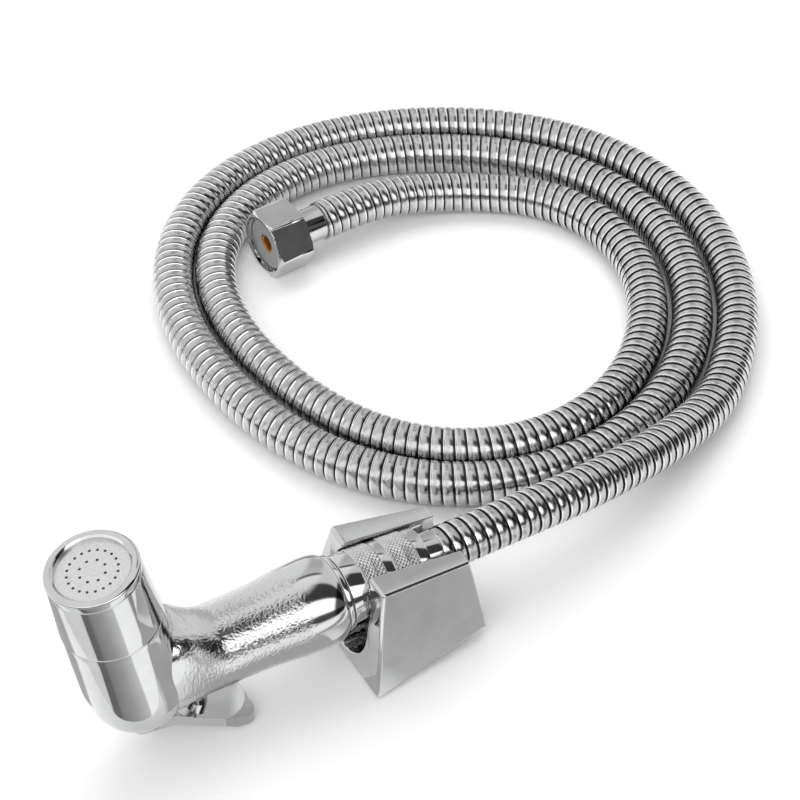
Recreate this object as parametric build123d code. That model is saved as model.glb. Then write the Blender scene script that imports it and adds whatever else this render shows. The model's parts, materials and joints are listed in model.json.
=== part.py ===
from build123d import *
import os
from math import atan2, cos, exp, pi, radians, sin, tan

# Handheld bath sprayer: handset with trigger valve, metal hose, wall bracket.
# Millimetres, +Z up, floor at Z = 0. The handle's axis runs along X, head at -X.
# Shapes are drawn with X = 0 at the handle's end and moved by ORIGIN_SHIFT at
# the end, so that the handset and bracket stand centred on the origin.

# ---- running clearances ----
FIT = 0.05                 # radial clearance of a turning or screwed fit
SEAT_GAP = 0.05            # gap of a face that rests on another body
PAD_GAP = 0.3              # lever pad to stem at rest

# ---- handle ----
AXIS_Z = 25.0              # height of the handle's axis
GRIP_R = 12.0              # grip radius
FLARE_R = 13.6             # radius of the flare near the hose end
FLARE_BACK = 7.0           # flare's widest point from the handle's end
FLARE_START = 32.0         # where the grip starts to widen
HANDLE_END_R = 11.7
NECK_FILLET = 12.0          # blend between barrel and handle

# ---- head barrel, along its own leaning axis; heights from the handle's axis ----
HEAD_BACK = 62.0           # barrel axis from the handle's end
HEAD_LEAN = 9.0            # degrees the barrel leans away from the handle
FACE_HEIGHT = 50.4         # top of the rim
SEAM_HEIGHT = 28.0         # sleeve meets body
WAIST_HEIGHT = 3.0         # where the barrel starts to round off
DOME_DEPTH = 14.5          # lowest point below the handle's axis
WAIST_R = 14.6
SEAM_R = 13.9
SLEEVE_FOOT_R = 14.2
SLEEVE_TOP_R = 12.9
RIM_R = 13.0
CHAMBER_R = 9.0            # water chamber in the barrel
CHAMBER_FLOOR = 8.0        # its floor below the handle's axis
SPIGOT_LENGTH = 7.0        # body's spigot inside the sleeve
SPIGOT_R = 11.4

# ---- cap, plate and diffuser ----
CAP_HEIGHT = 2.8           # visible height of the cap
CAP_OPENING_R = 10.3
BEVEL = 0.65               # bevel round the opening
CAP_LIP = 1.5              # lip over the plate
SKIRT_LENGTH = 4.2         # cap's skirt inside the sleeve
SKIRT_WALL = 1.0
SKIRT_R = 11.95
PLATE_THICK = 1.0
GASKET_THICK = 0.9
GASKET_WIDTH = 1.3
DIFFUSER_THICK = 1.2
OUTER_HOLES = 20
OUTER_CIRCLE_R = 6.9
INNER_HOLES = 8
INNER_CIRCLE_R = 3.65
JET_R = 0.42
DIFFUSER_HOLES = 6
DIFFUSER_HOLE_R = 1.1
DIFFUSER_CIRCLE_R = 5.5
SLEEVE_LAND_R = 9.4        # inside of the land that the diffuser sits on
HEAD_RING_SECTION = 0.72   # O-ring section radius

# ---- valve, on a vertical axis behind the barrel ----
VALVE_BEHIND = 18.0        # valve axis behind the barrel's axis
CHAMBER_BORE_R = 5.6
CHAMBER_TOP = 8.5          # above the handle's axis
SEAT_TOP = 1.2             # seat's top above the handle's axis
SEAT_THICK = 2.2
SEAT_HOLE_R = 2.8
STEM_R = 1.5
STEM_TIP_Z = 7.9
SPIGOT_TOP = 3.3           # stem's spigot above the seat's top
STEM_SPIGOT_R = 0.9
VALVE_WASHER_R = 4.2
VALVE_WASHER_THICK = 1.4
RETAINER_THICK = 1.0
SPRING_R = 2.6
SPRING_WIRE_R = 0.22
SPRING_TURNS = 3.0
GLAND_FOOT_Z = 13.4
GLAND_LENGTH = 4.2
GLAND_POCKET = 2.0
STEM_RING_SECTION = 0.9
PASSAGE_R = 2.5            # water passages either side of the valve
OUTLET_DROP = 4.0          # outlet passage below the handle's axis
INLET_RISE = 4.5           # inlet passage above the handle's axis

# ---- trigger lever, pivoted under the head ----
PIVOT_BEHIND = 3.0         # pivot behind the barrel's axis
PIVOT_Z = 7.0
PIN_R = 1.0
LEVER_FRONT = 6.0          # lever's nose ahead of its pivot
LEVER_REACH = 28.0         # lever's tip behind its pivot
LEVER_NOSE_W = 9.2
LEVER_TIP_W = 24.0
LEVER_TIP_STRAIGHT = 3.0   # side is parallel for this much at the tip
LEVER_CORNER = 3.5
LEVER_THICK = 3.6
LEVER_FLOOR = 1.5          # thickness left under the finger hollow
LEVER_SLOPE = 10.0         # degrees the tip hangs below level
LEVER_TIP_Z = 0.4          # underside of the tip
HOLLOW_R = 42.0            # radius of the finger hollow
LUG_W = 3.6
LUG_R = 2.0
LUG_SLOT = 0.4             # slot wider than the lug
PAD_R = 2.6                # pad that pushes the stem

# ---- inlet end: nipple, collar, union nut ----
COLLAR_R = 11.8
COLLAR_THICK = 1.6
COLLAR_INSET = 0.5         # handle's end face behind the collar's back
NIPPLE_R = 9.25            # G1/2 thread, drawn at its core
NIPPLE_IN = 12.0           # inside the handle
NIPPLE_OUT = 11.0          # outside it
NIPPLE_BORE_R = 5.5
INLET_BORE_R = 6.0
INLET_BORE_STOP = 8.0      # inlet bore ends this far behind the valve axis
NUT_BORE_R = 9.32          # G1/2 core radius of both union nuts
NUT_START = 1.6
NUT_END = 28.4
NUT_BIG_R = 11.2
NUT_SMALL_R = 9.6
NUT_SHOULDER = 16.0
NUT_NECK_R = 7.0
BAND_GROOVE = 0.25         # smooth bands below the knurled ones
KNURL_BANDS = ((6.9, 13.9), (16.9, 24.9))
WASHER_THICK = 2.4
WASHER_R = 9.1
WASHER_HOLE_R = 5.6
FLANGE_R = 9.1
FLANGE_THICK = 2.0
INSERT_NECK_R = 6.9
INSERT_BORE_R = 3.4
BARB_R = 4.4
BARB_LENGTH = 8.0
NEAR_FERRULE_R = 7.25
FERRULE_WALL = 0.9
NEAR_FERRULE_LENGTH = 5.0

# ---- hose ----
HOSE_R = 7.0
HOSE_BORE_R = 4.6
RIB_PITCH = 7.4
RIB_DEPTH = 0.55
RIB_CREST = 0.62           # share of the pitch at full radius
RIB_FLANK = 0.10           # share of the pitch in each flank
RUN_POINTS = (             # free run from the ferrule towards the coil
    (49.7, 0.0, 25.0), (67.3, 0.8, 23.8), (90.2, 3.2, 20.8),
    (112.4, 8.7, 16.3), (129.0, 14.1, 12.5), (146.9, 21.7, 8.5),
)
RUN_LEAD = 10.3            # straight end of the run, in line with the coil's start
TAIL_POINTS = ((121.2, 166.8, 8.8),)
TAIL_LEAD = 14.6           # straight start of the tail, in line with the coil's end
FERRULE_LEAD = 18.5        # straight end of the tail, in line with the ferrule
COIL_X = 111.9             # coil centre
COIL_Y = 107.4
COIL_R = 92.8              # radius at angle 0, before the terms below
COIL_STEP = 16.7           # radius lost in each turn
COIL_OVAL = 5.1            # ovality and the way it lies
COIL_OVAL_ANGLE = -44.0
COIL_DRIFT = 2.0           # sideways drift per turn and its direction
COIL_DRIFT_ANGLE = 106.0
BULGE_ANGLE = 123.9        # where the first two turns swing out round the hex nut
BULGE_WIDTH = 49.3
BULGES = (27.5, 31.4)      # swing of the outer and of the second turn
COIL_START = -53.0         # degrees round the centre
COIL_END = 770.0

# ---- far end ----
FAR_X = 61.0               # centre of the hex nut's face
FAR_Y = 164.5
FAR_AZIMUTH = 5.0          # direction from the face to the hose
HEX_AF = 22.0
HEX_LENGTH = 13.5
HEX_CHAMFER = 1.2
HEX_SEAT_DEPTH = 9.5       # floor behind the hose's flange
HEX_RELIEF = 0.18          # washer's space wider than the thread
HEX_THREAD_STOP = 0.1      # thread ends ahead of the washer
HEX_MOUTH = 0.9            # chamfer at the thread's mouth
FAR_WASHER_DEPTH = 3.0
FAR_WASHER_HOLE_R = 3.6
FAR_FERRULE_R = 6.25
FAR_FERRULE_SHOW = 10.0
FAR_NECK_R = 5.3

# ---- wall bracket, lying on the lower edge of its wall face ----
FRONT_FOOT_X = 1.7
FRONT_TIP_X = 7.5
FRONT_TIP_Z = 35.2
FRONT_FOOT_HALF = 22.6
FRONT_TIP_HALF = 15.6
REAR_FOOT_X = 42.0
REAR_FOOT_Z = 4.0
REAR_TIP_X = 37.8
REAR_TIP_Z = 30.7
REAR_TIP_HALF = 12.9
BRACKET_EDGE = 1.2         # edge rounding
SLOT_HALF = 7.9            # slot between the prongs
CRADLE_FRONT_R = 12.4
CRADLE_REAR_R = 9.6
CRADLE_FRONT_Z = 14.5
CRADLE_REAR_Z = 15.4
PRONG_CLEAR = 0.45         # prongs to the nut
SCREW_HOLE_R = 2.2
SCREW_SPOTS = (11.0, 31.0)  # along the wall face from its lower edge

# ---- derived values ----
VALVE_BACK = HEAD_BACK - VALVE_BEHIND      # from the handle's end
PIVOT_BACK = HEAD_BACK - PIVOT_BEHIND
INLET_BORE_DEPTH = VALVE_BACK - INLET_BORE_STOP
NUT_TAPER = (NUT_BIG_R - NUT_SMALL_R) / (NUT_END - NUT_START)
HEAD_REACH = HEAD_BACK + FACE_HEIGHT * sin(radians(HEAD_LEAN)) + RIM_R * cos(radians(HEAD_LEAN))
ORIGIN_SHIFT = (HEAD_REACH - REAR_FOOT_X) / 2
HOSE_START = NUT_END + NEAR_FERRULE_LENGTH + 0.2
CAP_FOOT = FACE_HEIGHT - CAP_HEIGHT
PLATE_TOP = FACE_HEIGHT - CAP_LIP
PLATE_FOOT = PLATE_TOP - PLATE_THICK
GASKET_FOOT = PLATE_FOOT - GASKET_THICK
DIFFUSER_FOOT = GASKET_FOOT - DIFFUSER_THICK
STACK_R = SKIRT_R - SKIRT_WALL - FIT
WASHER_FOOT_Z = AXIS_Z + SEAT_TOP + SEAT_GAP
RETAINER_FOOT_Z = WASHER_FOOT_Z + VALVE_WASHER_THICK
SPRING_FOOT_Z = RETAINER_FOOT_Z + RETAINER_THICK
CHAMBER_TOP_Z = AXIS_Z + CHAMBER_TOP
INLET_FLANGE = NIPPLE_OUT + WASHER_THICK
FAR_FLANGE = FAR_WASHER_DEPTH + WASHER_THICK
FAR_HOSE = HEX_LENGTH + FAR_FERRULE_SHOW

HEAD = Plane(
    origin=(-HEAD_BACK, 0, AXIS_Z),
    x_dir=(cos(radians(HEAD_LEAN)), 0, sin(radians(HEAD_LEAN))),
    z_dir=(-sin(radians(HEAD_LEAN)), 0, cos(radians(HEAD_LEAN))),
)
INLET = Plane(origin=(0, 0, AXIS_Z), x_dir=(0, 0, 1), z_dir=(1, 0, 0))
VALVE = Plane(origin=(-VALVE_BACK, 0, 0))
FAR = Plane(
    origin=(FAR_X, FAR_Y, HEX_AF / 2),
    x_dir=(0, 0, 1),
    z_dir=(cos(radians(FAR_AZIMUTH)), sin(radians(FAR_AZIMUTH)), 0),
)


# ---- helpers ----
def turned(plane, *outline):
    """Solid of revolution about the plane's normal from (radius, height) points or edges."""
    if isinstance(outline[0], tuple):
        edges = Polyline(*[(r, 0, h) for r, h in outline], close=True)
    else:
        edges = Curve() + list(outline)
    return plane.location * revolve(make_face(edges), Axis.Z, 360)


def pipe(plane, outer, inner, low, high):
    """Straight tube along the plane's normal."""
    return turned(plane, (inner, low), (outer, low), (outer, high), (inner, high))


def rod(plane, radius, low, high):
    """Solid cylinder along the plane's normal."""
    return turned(plane, (0, low), (radius, low), (radius, high), (0, high))


def ring(plane, centre_r, section_r, height):
    """O-ring about the plane's normal."""
    section = Plane.XZ * Pos(centre_r, height) * Circle(section_r)
    return plane.location * revolve(section, Axis.Z, 360)


def corners(*points):
    """Polyline edge chain in the XZ plane through (x, z) points."""
    return Polyline(*[(x, 0, z) for x, z in points])


# ---- handset ----
def barrel_shape():
    """Outer form of the lower barrel, rounded off below."""
    side = corners((0, SEAM_HEIGHT), (SEAM_R, SEAM_HEIGHT), (WAIST_R, WAIST_HEIGHT))
    drop = WAIST_HEIGHT + DOME_DEPTH
    dome = Spline(
        (WAIST_R, 0, WAIST_HEIGHT),
        (WAIST_R * 0.75, 0, WAIST_HEIGHT - drop * 0.75),
        (0, 0, -DOME_DEPTH),
        tangents=((0, 0, -1), (-1, 0, 0)),
    )
    axis = corners((0, -DOME_DEPTH), (0, SEAM_HEIGHT))
    return turned(HEAD, side, dome, axis)


def handle_shape():
    """Outer form of the grip with its flared end."""
    end = -COLLAR_INSET
    start = corners((0, -HEAD_BACK), (GRIP_R, -HEAD_BACK), (GRIP_R, -FLARE_START))
    flare = Spline(
        (GRIP_R, 0, -FLARE_START), (FLARE_R, 0, -FLARE_BACK),
        tangents=((0, 0, 1), (0, 0, 1)),
    )
    shoulder = Spline(
        (FLARE_R, 0, -FLARE_BACK), (HANDLE_END_R, 0, end),
        tangents=((0, 0, 1), (-0.8, 0, 1)),
    )
    close = corners((HANDLE_END_R, end), (0, end), (0, -HEAD_BACK))
    return turned(INLET, start, flare, shoulder, close)


def lug_shape(width, radius, height):
    """Rounded tongue round the lever's pivot, reaching up to a height."""
    rise = height - PIVOT_Z
    face = Circle(radius) + Pos(0, rise / 2) * Rectangle(2 * radius, rise)
    plane = Plane(origin=(-PIVOT_BACK, width / 2, PIVOT_Z), x_dir=(1, 0, 0), z_dir=(0, -1, 0))
    return extrude(plane * face, width)


def across(radius, width, back, height):
    """Cylinder along Y."""
    plane = Plane(origin=(-back, width / 2, height), x_dir=(1, 0, 0), z_dir=(0, -1, 0))
    return rod(plane, radius, 0, width)


def handle_body():
    lug = lug_shape(LUG_W, LUG_R, AXIS_Z - DOME_DEPTH + LUG_R)
    outside = barrel_shape() + lug + handle_shape()
    neck = [e for e in outside.edges().filter_by(GeomType.BSPLINE) if abs(e.center().Y) > GRIP_R / 3]
    outside = fillet(neck, NECK_FILLET)
    body = outside + rod(HEAD, SPIGOT_R, SEAM_HEIGHT - 1, SEAM_HEIGHT + SPIGOT_LENGTH)
    body -= rod(HEAD, CHAMBER_R, -CHAMBER_FLOOR, FACE_HEIGHT)
    groove_z = SEAM_HEIGHT + SPIGOT_LENGTH / 2
    groove_half = HEAD_RING_SECTION + FIT
    body -= pipe(HEAD, SPIGOT_R + 1, SPIGOT_R - 2 * HEAD_RING_SECTION,
                 groove_z - groove_half, groove_z + groove_half)
    body -= rod(VALVE, CHAMBER_BORE_R, 0, CHAMBER_TOP_Z)
    body -= rod(INLET, INLET_BORE_R, -INLET_BORE_DEPTH, 1)
    body -= rod(INLET, NIPPLE_R + FIT, -COLLAR_INSET - NIPPLE_IN, 1)
    outlet = Plane(origin=(0, 0, AXIS_Z - OUTLET_DROP), x_dir=(0, 0, 1), z_dir=(1, 0, 0))
    body -= rod(outlet, PASSAGE_R, -HEAD_BACK, -VALVE_BACK)
    inlet = Plane(origin=(0, 0, AXIS_Z + INLET_RISE), x_dir=(0, 0, 1), z_dir=(1, 0, 0))
    body -= rod(inlet, PASSAGE_R, -VALVE_BACK, -INLET_BORE_DEPTH + 1)
    return body - across(PIN_R + FIT / 2, 2 * LUG_W, PIVOT_BACK, PIVOT_Z)


def head_sleeve():
    """Upper barrel: slips over the spigot, holds the cap's skirt and the diffuser's land."""
    step = SEAM_HEIGHT + SPIGOT_LENGTH + 1
    skirt_foot = CAP_FOOT - SKIRT_LENGTH - 0.3
    land_r = SKIRT_R - SKIRT_WALL - 2 * FIT
    return turned(
        HEAD,
        (SPIGOT_R + FIT, SEAM_HEIGHT + SEAT_GAP), (SLEEVE_FOOT_R, SEAM_HEIGHT + SEAT_GAP),
        (SLEEVE_TOP_R, CAP_FOOT), (SKIRT_R + FIT, CAP_FOOT), (SKIRT_R + FIT, skirt_foot),
        (land_r, skirt_foot), (land_r, DIFFUSER_FOOT), (SLEEVE_LAND_R, DIFFUSER_FOOT),
        (SLEEVE_LAND_R, step), (SPIGOT_R + FIT, step),
    )


def nozzle_cap():
    """Rim with a bevelled opening and a skirt that screws into the sleeve."""
    inner = SKIRT_R - SKIRT_WALL
    foot = CAP_FOOT - SKIRT_LENGTH
    return turned(
        HEAD,
        (inner, foot), (SKIRT_R, foot), (SKIRT_R, CAP_FOOT), (RIM_R - 0.2, CAP_FOOT),
        (RIM_R, CAP_FOOT + 0.3), (RIM_R, FACE_HEIGHT - 0.5), (RIM_R - 0.5, FACE_HEIGHT),
        (CAP_OPENING_R + BEVEL, FACE_HEIGHT), (CAP_OPENING_R, FACE_HEIGHT - BEVEL),
        (CAP_OPENING_R, PLATE_TOP), (inner, PLATE_TOP),
    )


def hole_ring(count, circle_r, hole_r, low, high):
    """Cylinders spaced round the head's axis."""
    spots = PolarLocations(circle_r, count)
    return [HEAD.location * (spot * Pos(0, 0, low) * extrude(Circle(hole_r), high - low))
            for spot in spots]


def spray_plate():
    plate = rod(HEAD, STACK_R, PLATE_FOOT, PLATE_TOP)
    low, high = PLATE_FOOT - 1, PLATE_TOP + 1
    plate -= hole_ring(OUTER_HOLES, OUTER_CIRCLE_R, JET_R, low, high)
    return plate - hole_ring(INNER_HOLES, INNER_CIRCLE_R, JET_R, low, high)


def face_gasket():
    return pipe(HEAD, STACK_R, STACK_R - GASKET_WIDTH, GASKET_FOOT, PLATE_FOOT)


def flow_diffuser():
    disc = rod(HEAD, STACK_R, DIFFUSER_FOOT, GASKET_FOOT)
    low, high = DIFFUSER_FOOT - 1, GASKET_FOOT + 1
    return disc - hole_ring(DIFFUSER_HOLES, DIFFUSER_CIRCLE_R, DIFFUSER_HOLE_R, low, high)


def head_o_ring():
    centre = SPIGOT_R - HEAD_RING_SECTION + FIT / 2
    return ring(HEAD, centre, HEAD_RING_SECTION, SEAM_HEIGHT + SPIGOT_LENGTH / 2)


# ---- valve ----
def valve_seat():
    top = AXIS_Z + SEAT_TOP
    return pipe(VALVE, CHAMBER_BORE_R - FIT, SEAT_HOLE_R, top - SEAT_THICK, top)


def stem_gland():
    top = GLAND_FOOT_Z + GLAND_LENGTH
    pocket = STEM_R + FIT + 2 * STEM_RING_SECTION + FIT
    return turned(
        VALVE,
        (STEM_R + FIT, GLAND_FOOT_Z), (CHAMBER_BORE_R - FIT, GLAND_FOOT_Z),
        (CHAMBER_BORE_R - FIT, top), (pocket, top), (pocket, top - GLAND_POCKET),
        (STEM_R + FIT, top - GLAND_POCKET),
    )


def stem_o_ring():
    height = GLAND_FOOT_Z + GLAND_LENGTH - GLAND_POCKET + STEM_RING_SECTION + FIT
    return ring(VALVE, STEM_R + FIT + STEM_RING_SECTION, STEM_RING_SECTION, height)


def valve_stem():
    """Round-nosed pin with a thin spigot for the washer and its retainer."""
    top = AXIS_Z + SEAT_TOP + SPIGOT_TOP
    nose = STEM_TIP_Z + STEM_R
    tip = VALVE.location * Pos(0, 0, nose) * Sphere(STEM_R)
    shaft = rod(VALVE, STEM_R, nose, WASHER_FOOT_Z)
    return tip + shaft + rod(VALVE, STEM_SPIGOT_R, WASHER_FOOT_Z, top)


def valve_washer():
    return pipe(VALVE, VALVE_WASHER_R, STEM_SPIGOT_R + FIT, WASHER_FOOT_Z, RETAINER_FOOT_Z)


def washer_retainer():
    return pipe(VALVE, VALVE_WASHER_R, STEM_SPIGOT_R + FIT, RETAINER_FOOT_Z, SPRING_FOOT_Z)


def valve_spring():
    """Light coil spring between the retainer and the chamber's roof."""
    low = SPRING_FOOT_Z + SPRING_WIRE_R + FIT
    rise = CHAMBER_TOP_Z - FIT - SPRING_WIRE_R - low
    path = Helix(pitch=rise / SPRING_TURNS, height=rise, radius=SPRING_R)
    section = Plane(origin=path @ 0, z_dir=path % 0) * Circle(SPRING_WIRE_R)
    return VALVE.location * Pos(0, 0, low) * sweep(section, path=path)


# ---- trigger lever ----
def lever_underside(x):
    """Height of the lever's underside at a distance x behind the pivot."""
    return LEVER_TIP_Z + (LEVER_REACH - x) * tan(radians(LEVER_SLOPE))


def trigger_lever():
    """Fan-shaped paddle with a finger hollow, a slot for the lug and a pad for the stem."""
    tip_side = LEVER_REACH - LEVER_CORNER - LEVER_TIP_STRAIGHT
    plan = Polyline(
        (-LEVER_FRONT, -LEVER_NOSE_W / 2), (LEVER_FRONT, -LEVER_NOSE_W / 2),
        (tip_side, -LEVER_TIP_W / 2), (LEVER_REACH, -LEVER_TIP_W / 2),
        (LEVER_REACH, LEVER_TIP_W / 2), (tip_side, LEVER_TIP_W / 2),
        (LEVER_FRONT, LEVER_NOSE_W / 2), (-LEVER_FRONT, LEVER_NOSE_W / 2), close=True,
    )
    blank = extrude(make_face(plan), AXIS_Z)
    upright = blank.edges().filter_by(Axis.Z)
    tips = [e for e in upright if e.center().X > LEVER_REACH - 0.1]
    nose = [e for e in upright if e.center().X < -LEVER_FRONT + 0.1]
    blank = fillet(tips, LEVER_CORNER)
    blank = fillet(blank.edges().filter_by(Axis.Z).group_by(Axis.X)[0], LEVER_NOSE_W / 4)
    front, back = -LEVER_FRONT - 1, LEVER_REACH + 1
    low_front, low_back = lever_underside(front), lever_underside(back)
    slab = make_face(Polyline(
        (front, 0, low_front), (back, 0, low_back), (back, 0, low_back + LEVER_THICK),
        (front, 0, low_front + LEVER_THICK), close=True,
    ))
    lever = blank & extrude(slab, LEVER_TIP_W, both=True)
    slope = radians(LEVER_SLOPE)
    mid = LEVER_REACH * 0.62
    centre_z = lever_underside(mid) + LEVER_FLOOR + HOLLOW_R
    hollow = Plane(origin=(mid + HOLLOW_R * sin(slope), 0, centre_z),
                   x_dir=(0, 1, 0), z_dir=(cos(slope), 0, -sin(slope)))
    lever -= hollow.location * Sphere(HOLLOW_R)
    pad_z = STEM_TIP_Z - PAD_GAP - SEAT_GAP
    pad_x = PIVOT_BACK - VALVE_BACK
    pad_foot = lever_underside(pad_x) + LEVER_FLOOR / 2
    lever += Pos(pad_x, 0, pad_foot) * extrude(Circle(PAD_R), pad_z - pad_foot)
    slot_long = 2 * LUG_R + 2
    lever -= Box(slot_long, LUG_W + LUG_SLOT, 2 * AXIS_Z)
    lever = Pos(-PIVOT_BACK, 0, 0) * lever
    return lever - across(PIN_R + FIT, LEVER_TIP_W, PIVOT_BACK, PIVOT_Z)


def lever_pin():
    return across(PIN_R, LEVER_NOSE_W - 0.4, PIVOT_BACK, PIVOT_Z)


# ---- inlet end ----
def end_collar():
    rounded = 0.3
    back, front = -COLLAR_INSET, COLLAR_THICK - COLLAR_INSET
    return turned(
        INLET,
        (NIPPLE_R + FIT, back), (COLLAR_R - rounded, back), (COLLAR_R, back + rounded),
        (COLLAR_R, front - rounded), (COLLAR_R - rounded, front), (NIPPLE_R + FIT, front),
    )


def inlet_nipple():
    return pipe(INLET, NIPPLE_R, NIPPLE_BORE_R, -COLLAR_INSET - NIPPLE_IN, NIPPLE_OUT)


def inlet_washer():
    return pipe(INLET, WASHER_R, WASHER_HOLE_R, NIPPLE_OUT, INLET_FLANGE)


def conical_nut():
    """Tapered union nut with two raised bands."""
    def skin(x, sunk):
        return (NUT_BIG_R - NUT_TAPER * (x - NUT_START) - sunk, x)
    outline = [(NUT_BORE_R, NUT_START), (NUT_BIG_R - 0.5, NUT_START), skin(NUT_START + 0.4, BAND_GROOVE)]
    for low, high in KNURL_BANDS:
        outline += [skin(low, BAND_GROOVE), skin(low + 0.25, 0), skin(high - 0.25, 0),
                    skin(high, BAND_GROOVE)]
    outline += [skin(NUT_END - 0.5, BAND_GROOVE), (NUT_SMALL_R - 0.8, NUT_END),
                (NUT_NECK_R, NUT_END), (NUT_NECK_R, NUT_SHOULDER), (NUT_BORE_R, NUT_SHOULDER)]
    return turned(INLET, *outline)


def hose_insert(plane, flange, neck_r, hose_face):
    """Flanged brass insert with a barb in the hose's bore."""
    return turned(
        plane,
        (INSERT_BORE_R, flange), (FLANGE_R, flange), (FLANGE_R, flange + FLANGE_THICK),
        (neck_r, flange + FLANGE_THICK), (neck_r, hose_face), (BARB_R, hose_face),
        (BARB_R, hose_face + BARB_LENGTH), (INSERT_BORE_R, hose_face + BARB_LENGTH),
    )


def near_insert():
    sleeve_start = NUT_END + 0.2
    neck = NEAR_FERRULE_R - FERRULE_WALL
    body = hose_insert(INLET, INLET_FLANGE, neck, HOSE_START)
    flange_back = INLET_FLANGE + FLANGE_THICK
    return body + pipe(INLET, INSERT_NECK_R, neck - 1, flange_back, sleeve_start)


def near_ferrule():
    inner = NEAR_FERRULE_R - FERRULE_WALL
    return pipe(INLET, NEAR_FERRULE_R, inner, NUT_END + 0.2, HOSE_START)


# ---- far end ----
def hex_nut():
    """Union nut: hexagon with a turned, chamfered face and a threaded bore."""
    prism = extrude(RegularPolygon(HEX_AF / 2, 6, major_radius=False, rotation=30), HEX_LENGTH)
    corner_r = HEX_AF / 2 / cos(pi / 6)
    relief_r = NUT_BORE_R + HEX_RELIEF
    thread_end = FAR_WASHER_DEPTH - HEX_THREAD_STOP
    turned_blank = turned(
        Plane.XY,
        (0, 0), (corner_r - HEX_CHAMFER - 0.6, 0), (corner_r, HEX_CHAMFER),
        (corner_r, HEX_LENGTH - HEX_CHAMFER / 2), (corner_r - HEX_CHAMFER, HEX_LENGTH),
        (0, HEX_LENGTH),
    )
    bore = turned(
        Plane.XY,
        (0, -1), (NUT_BORE_R + HEX_MOUTH, -1), (NUT_BORE_R + HEX_MOUTH, 0),
        (NUT_BORE_R, HEX_MOUTH), (NUT_BORE_R, thread_end), (relief_r, thread_end),
        (relief_r, HEX_SEAT_DEPTH), (FAR_FERRULE_R + FIT, HEX_SEAT_DEPTH),
        (FAR_FERRULE_R + FIT, HEX_LENGTH + 1),
        (0, HEX_LENGTH + 1),
    )
    return FAR.location * ((prism & turned_blank) - bore)


def far_washer():
    return pipe(FAR, WASHER_R, FAR_WASHER_HOLE_R, FAR_WASHER_DEPTH, FAR_FLANGE)


def far_insert():
    return hose_insert(FAR, FAR_FLANGE, FAR_NECK_R, FAR_HOSE)


def far_ferrule():
    return pipe(FAR, FAR_FERRULE_R, FAR_NECK_R, FAR_FLANGE + FLANGE_THICK, FAR_HOSE)


# ---- hose ----
def coil_point(angle):
    """Centre of the hose at an angle round the coil, in degrees."""
    turns = angle / 360
    radius = COIL_R - COIL_STEP * turns
    radius -= COIL_OVAL * cos(radians(2 * (angle - COIL_OVAL_ANGLE)))
    radius -= COIL_DRIFT * turns * cos(radians(angle - COIL_DRIFT_ANGLE))
    for turn, swing in enumerate(BULGES):
        radius += swing * exp(-((angle - BULGE_ANGLE - 360 * turn) / BULGE_WIDTH) ** 2)
    return Vector(COIL_X + radius * cos(radians(angle)), COIL_Y + radius * sin(radians(angle)), HOSE_R)


def coil_direction(angle):
    return (coil_point(angle + 0.05) - coil_point(angle - 0.05)).normalized()


def rounded_path(points):
    """Straight runs joined by arcs of 0.45 of the shorter run over the tangent of half the turn."""
    radii = []
    for before, here, after in zip(points, points[1:], points[2:]):
        first, second = here - before, after - here
        shorter = min(first.length, second.length)
        radii.append(0.45 * shorter / tan(radians(first.get_angle(second)) / 2))
    print("  arc radii", [round(r, 1) for r in radii])
    return FilletPolyline(*points, radius=radii)


def hose_section(where, direction, radius):
    """Circle square to the hose, its X axis kept upright."""
    return Wire.make_circle(radius, Plane(origin=where, x_dir=(0, 0, 1), z_dir=direction))


def ribbed_hose(place, length, first_direction, last_direction):
    """Ribbed tube with its bore; place(s) gives the centre and direction at a length s."""
    ribs = max(2, round(length / RIB_PITCH))
    pitch = length / ribs
    flank = RIB_CREST + RIB_FLANK
    stations = ((0, HOSE_R), (RIB_CREST, HOSE_R), (flank, HOSE_R - RIB_DEPTH),
                (1 - RIB_FLANK, HOSE_R - RIB_DEPTH))
    outside = [(pitch * (k + share), radius) for k in range(ribs) for share, radius in stations]
    outside.append((length, HOSE_R))
    skin = Solid.make_loft([hose_section(*place(s), radius) for s, radius in outside], ruled=True)
    inside = [hose_section(*place(pitch * k), HOSE_BORE_R) for k in range(ribs + 1)]
    first, last = place(0)[0], place(length)[0]
    inside.insert(0, hose_section(first - first_direction, first_direction, HOSE_BORE_R))
    inside.append(hose_section(last + last_direction, last_direction, HOSE_BORE_R))
    return skin - Solid.make_loft(inside, ruled=True), ribs


def along(path):
    """Place function of a rounded path."""
    length = path.length
    return lambda s: (path @ (s / length), path % (s / length))


def coil_table(step=1.0):
    """Lengths along the coil at equal angles."""
    count = round((COIL_END - COIL_START) / step)
    angles = [COIL_START + (COIL_END - COIL_START) * k / count for k in range(count + 1)]
    lengths = [0.0]
    for a, b in zip(angles, angles[1:]):
        lengths.append(lengths[-1] + (coil_point(b) - coil_point(a)).length)
    return angles, lengths


def coil_place(angles, lengths):
    """Place function of the coil."""
    def place(s):
        k = min(max(sum(1 for v in lengths if v <= s) - 1, 0), len(angles) - 2)
        share = (s - lengths[k]) / (lengths[k + 1] - lengths[k])
        angle = angles[k] + share * (angles[k + 1] - angles[k])
        return coil_point(angle), coil_direction(angle)
    return place


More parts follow.
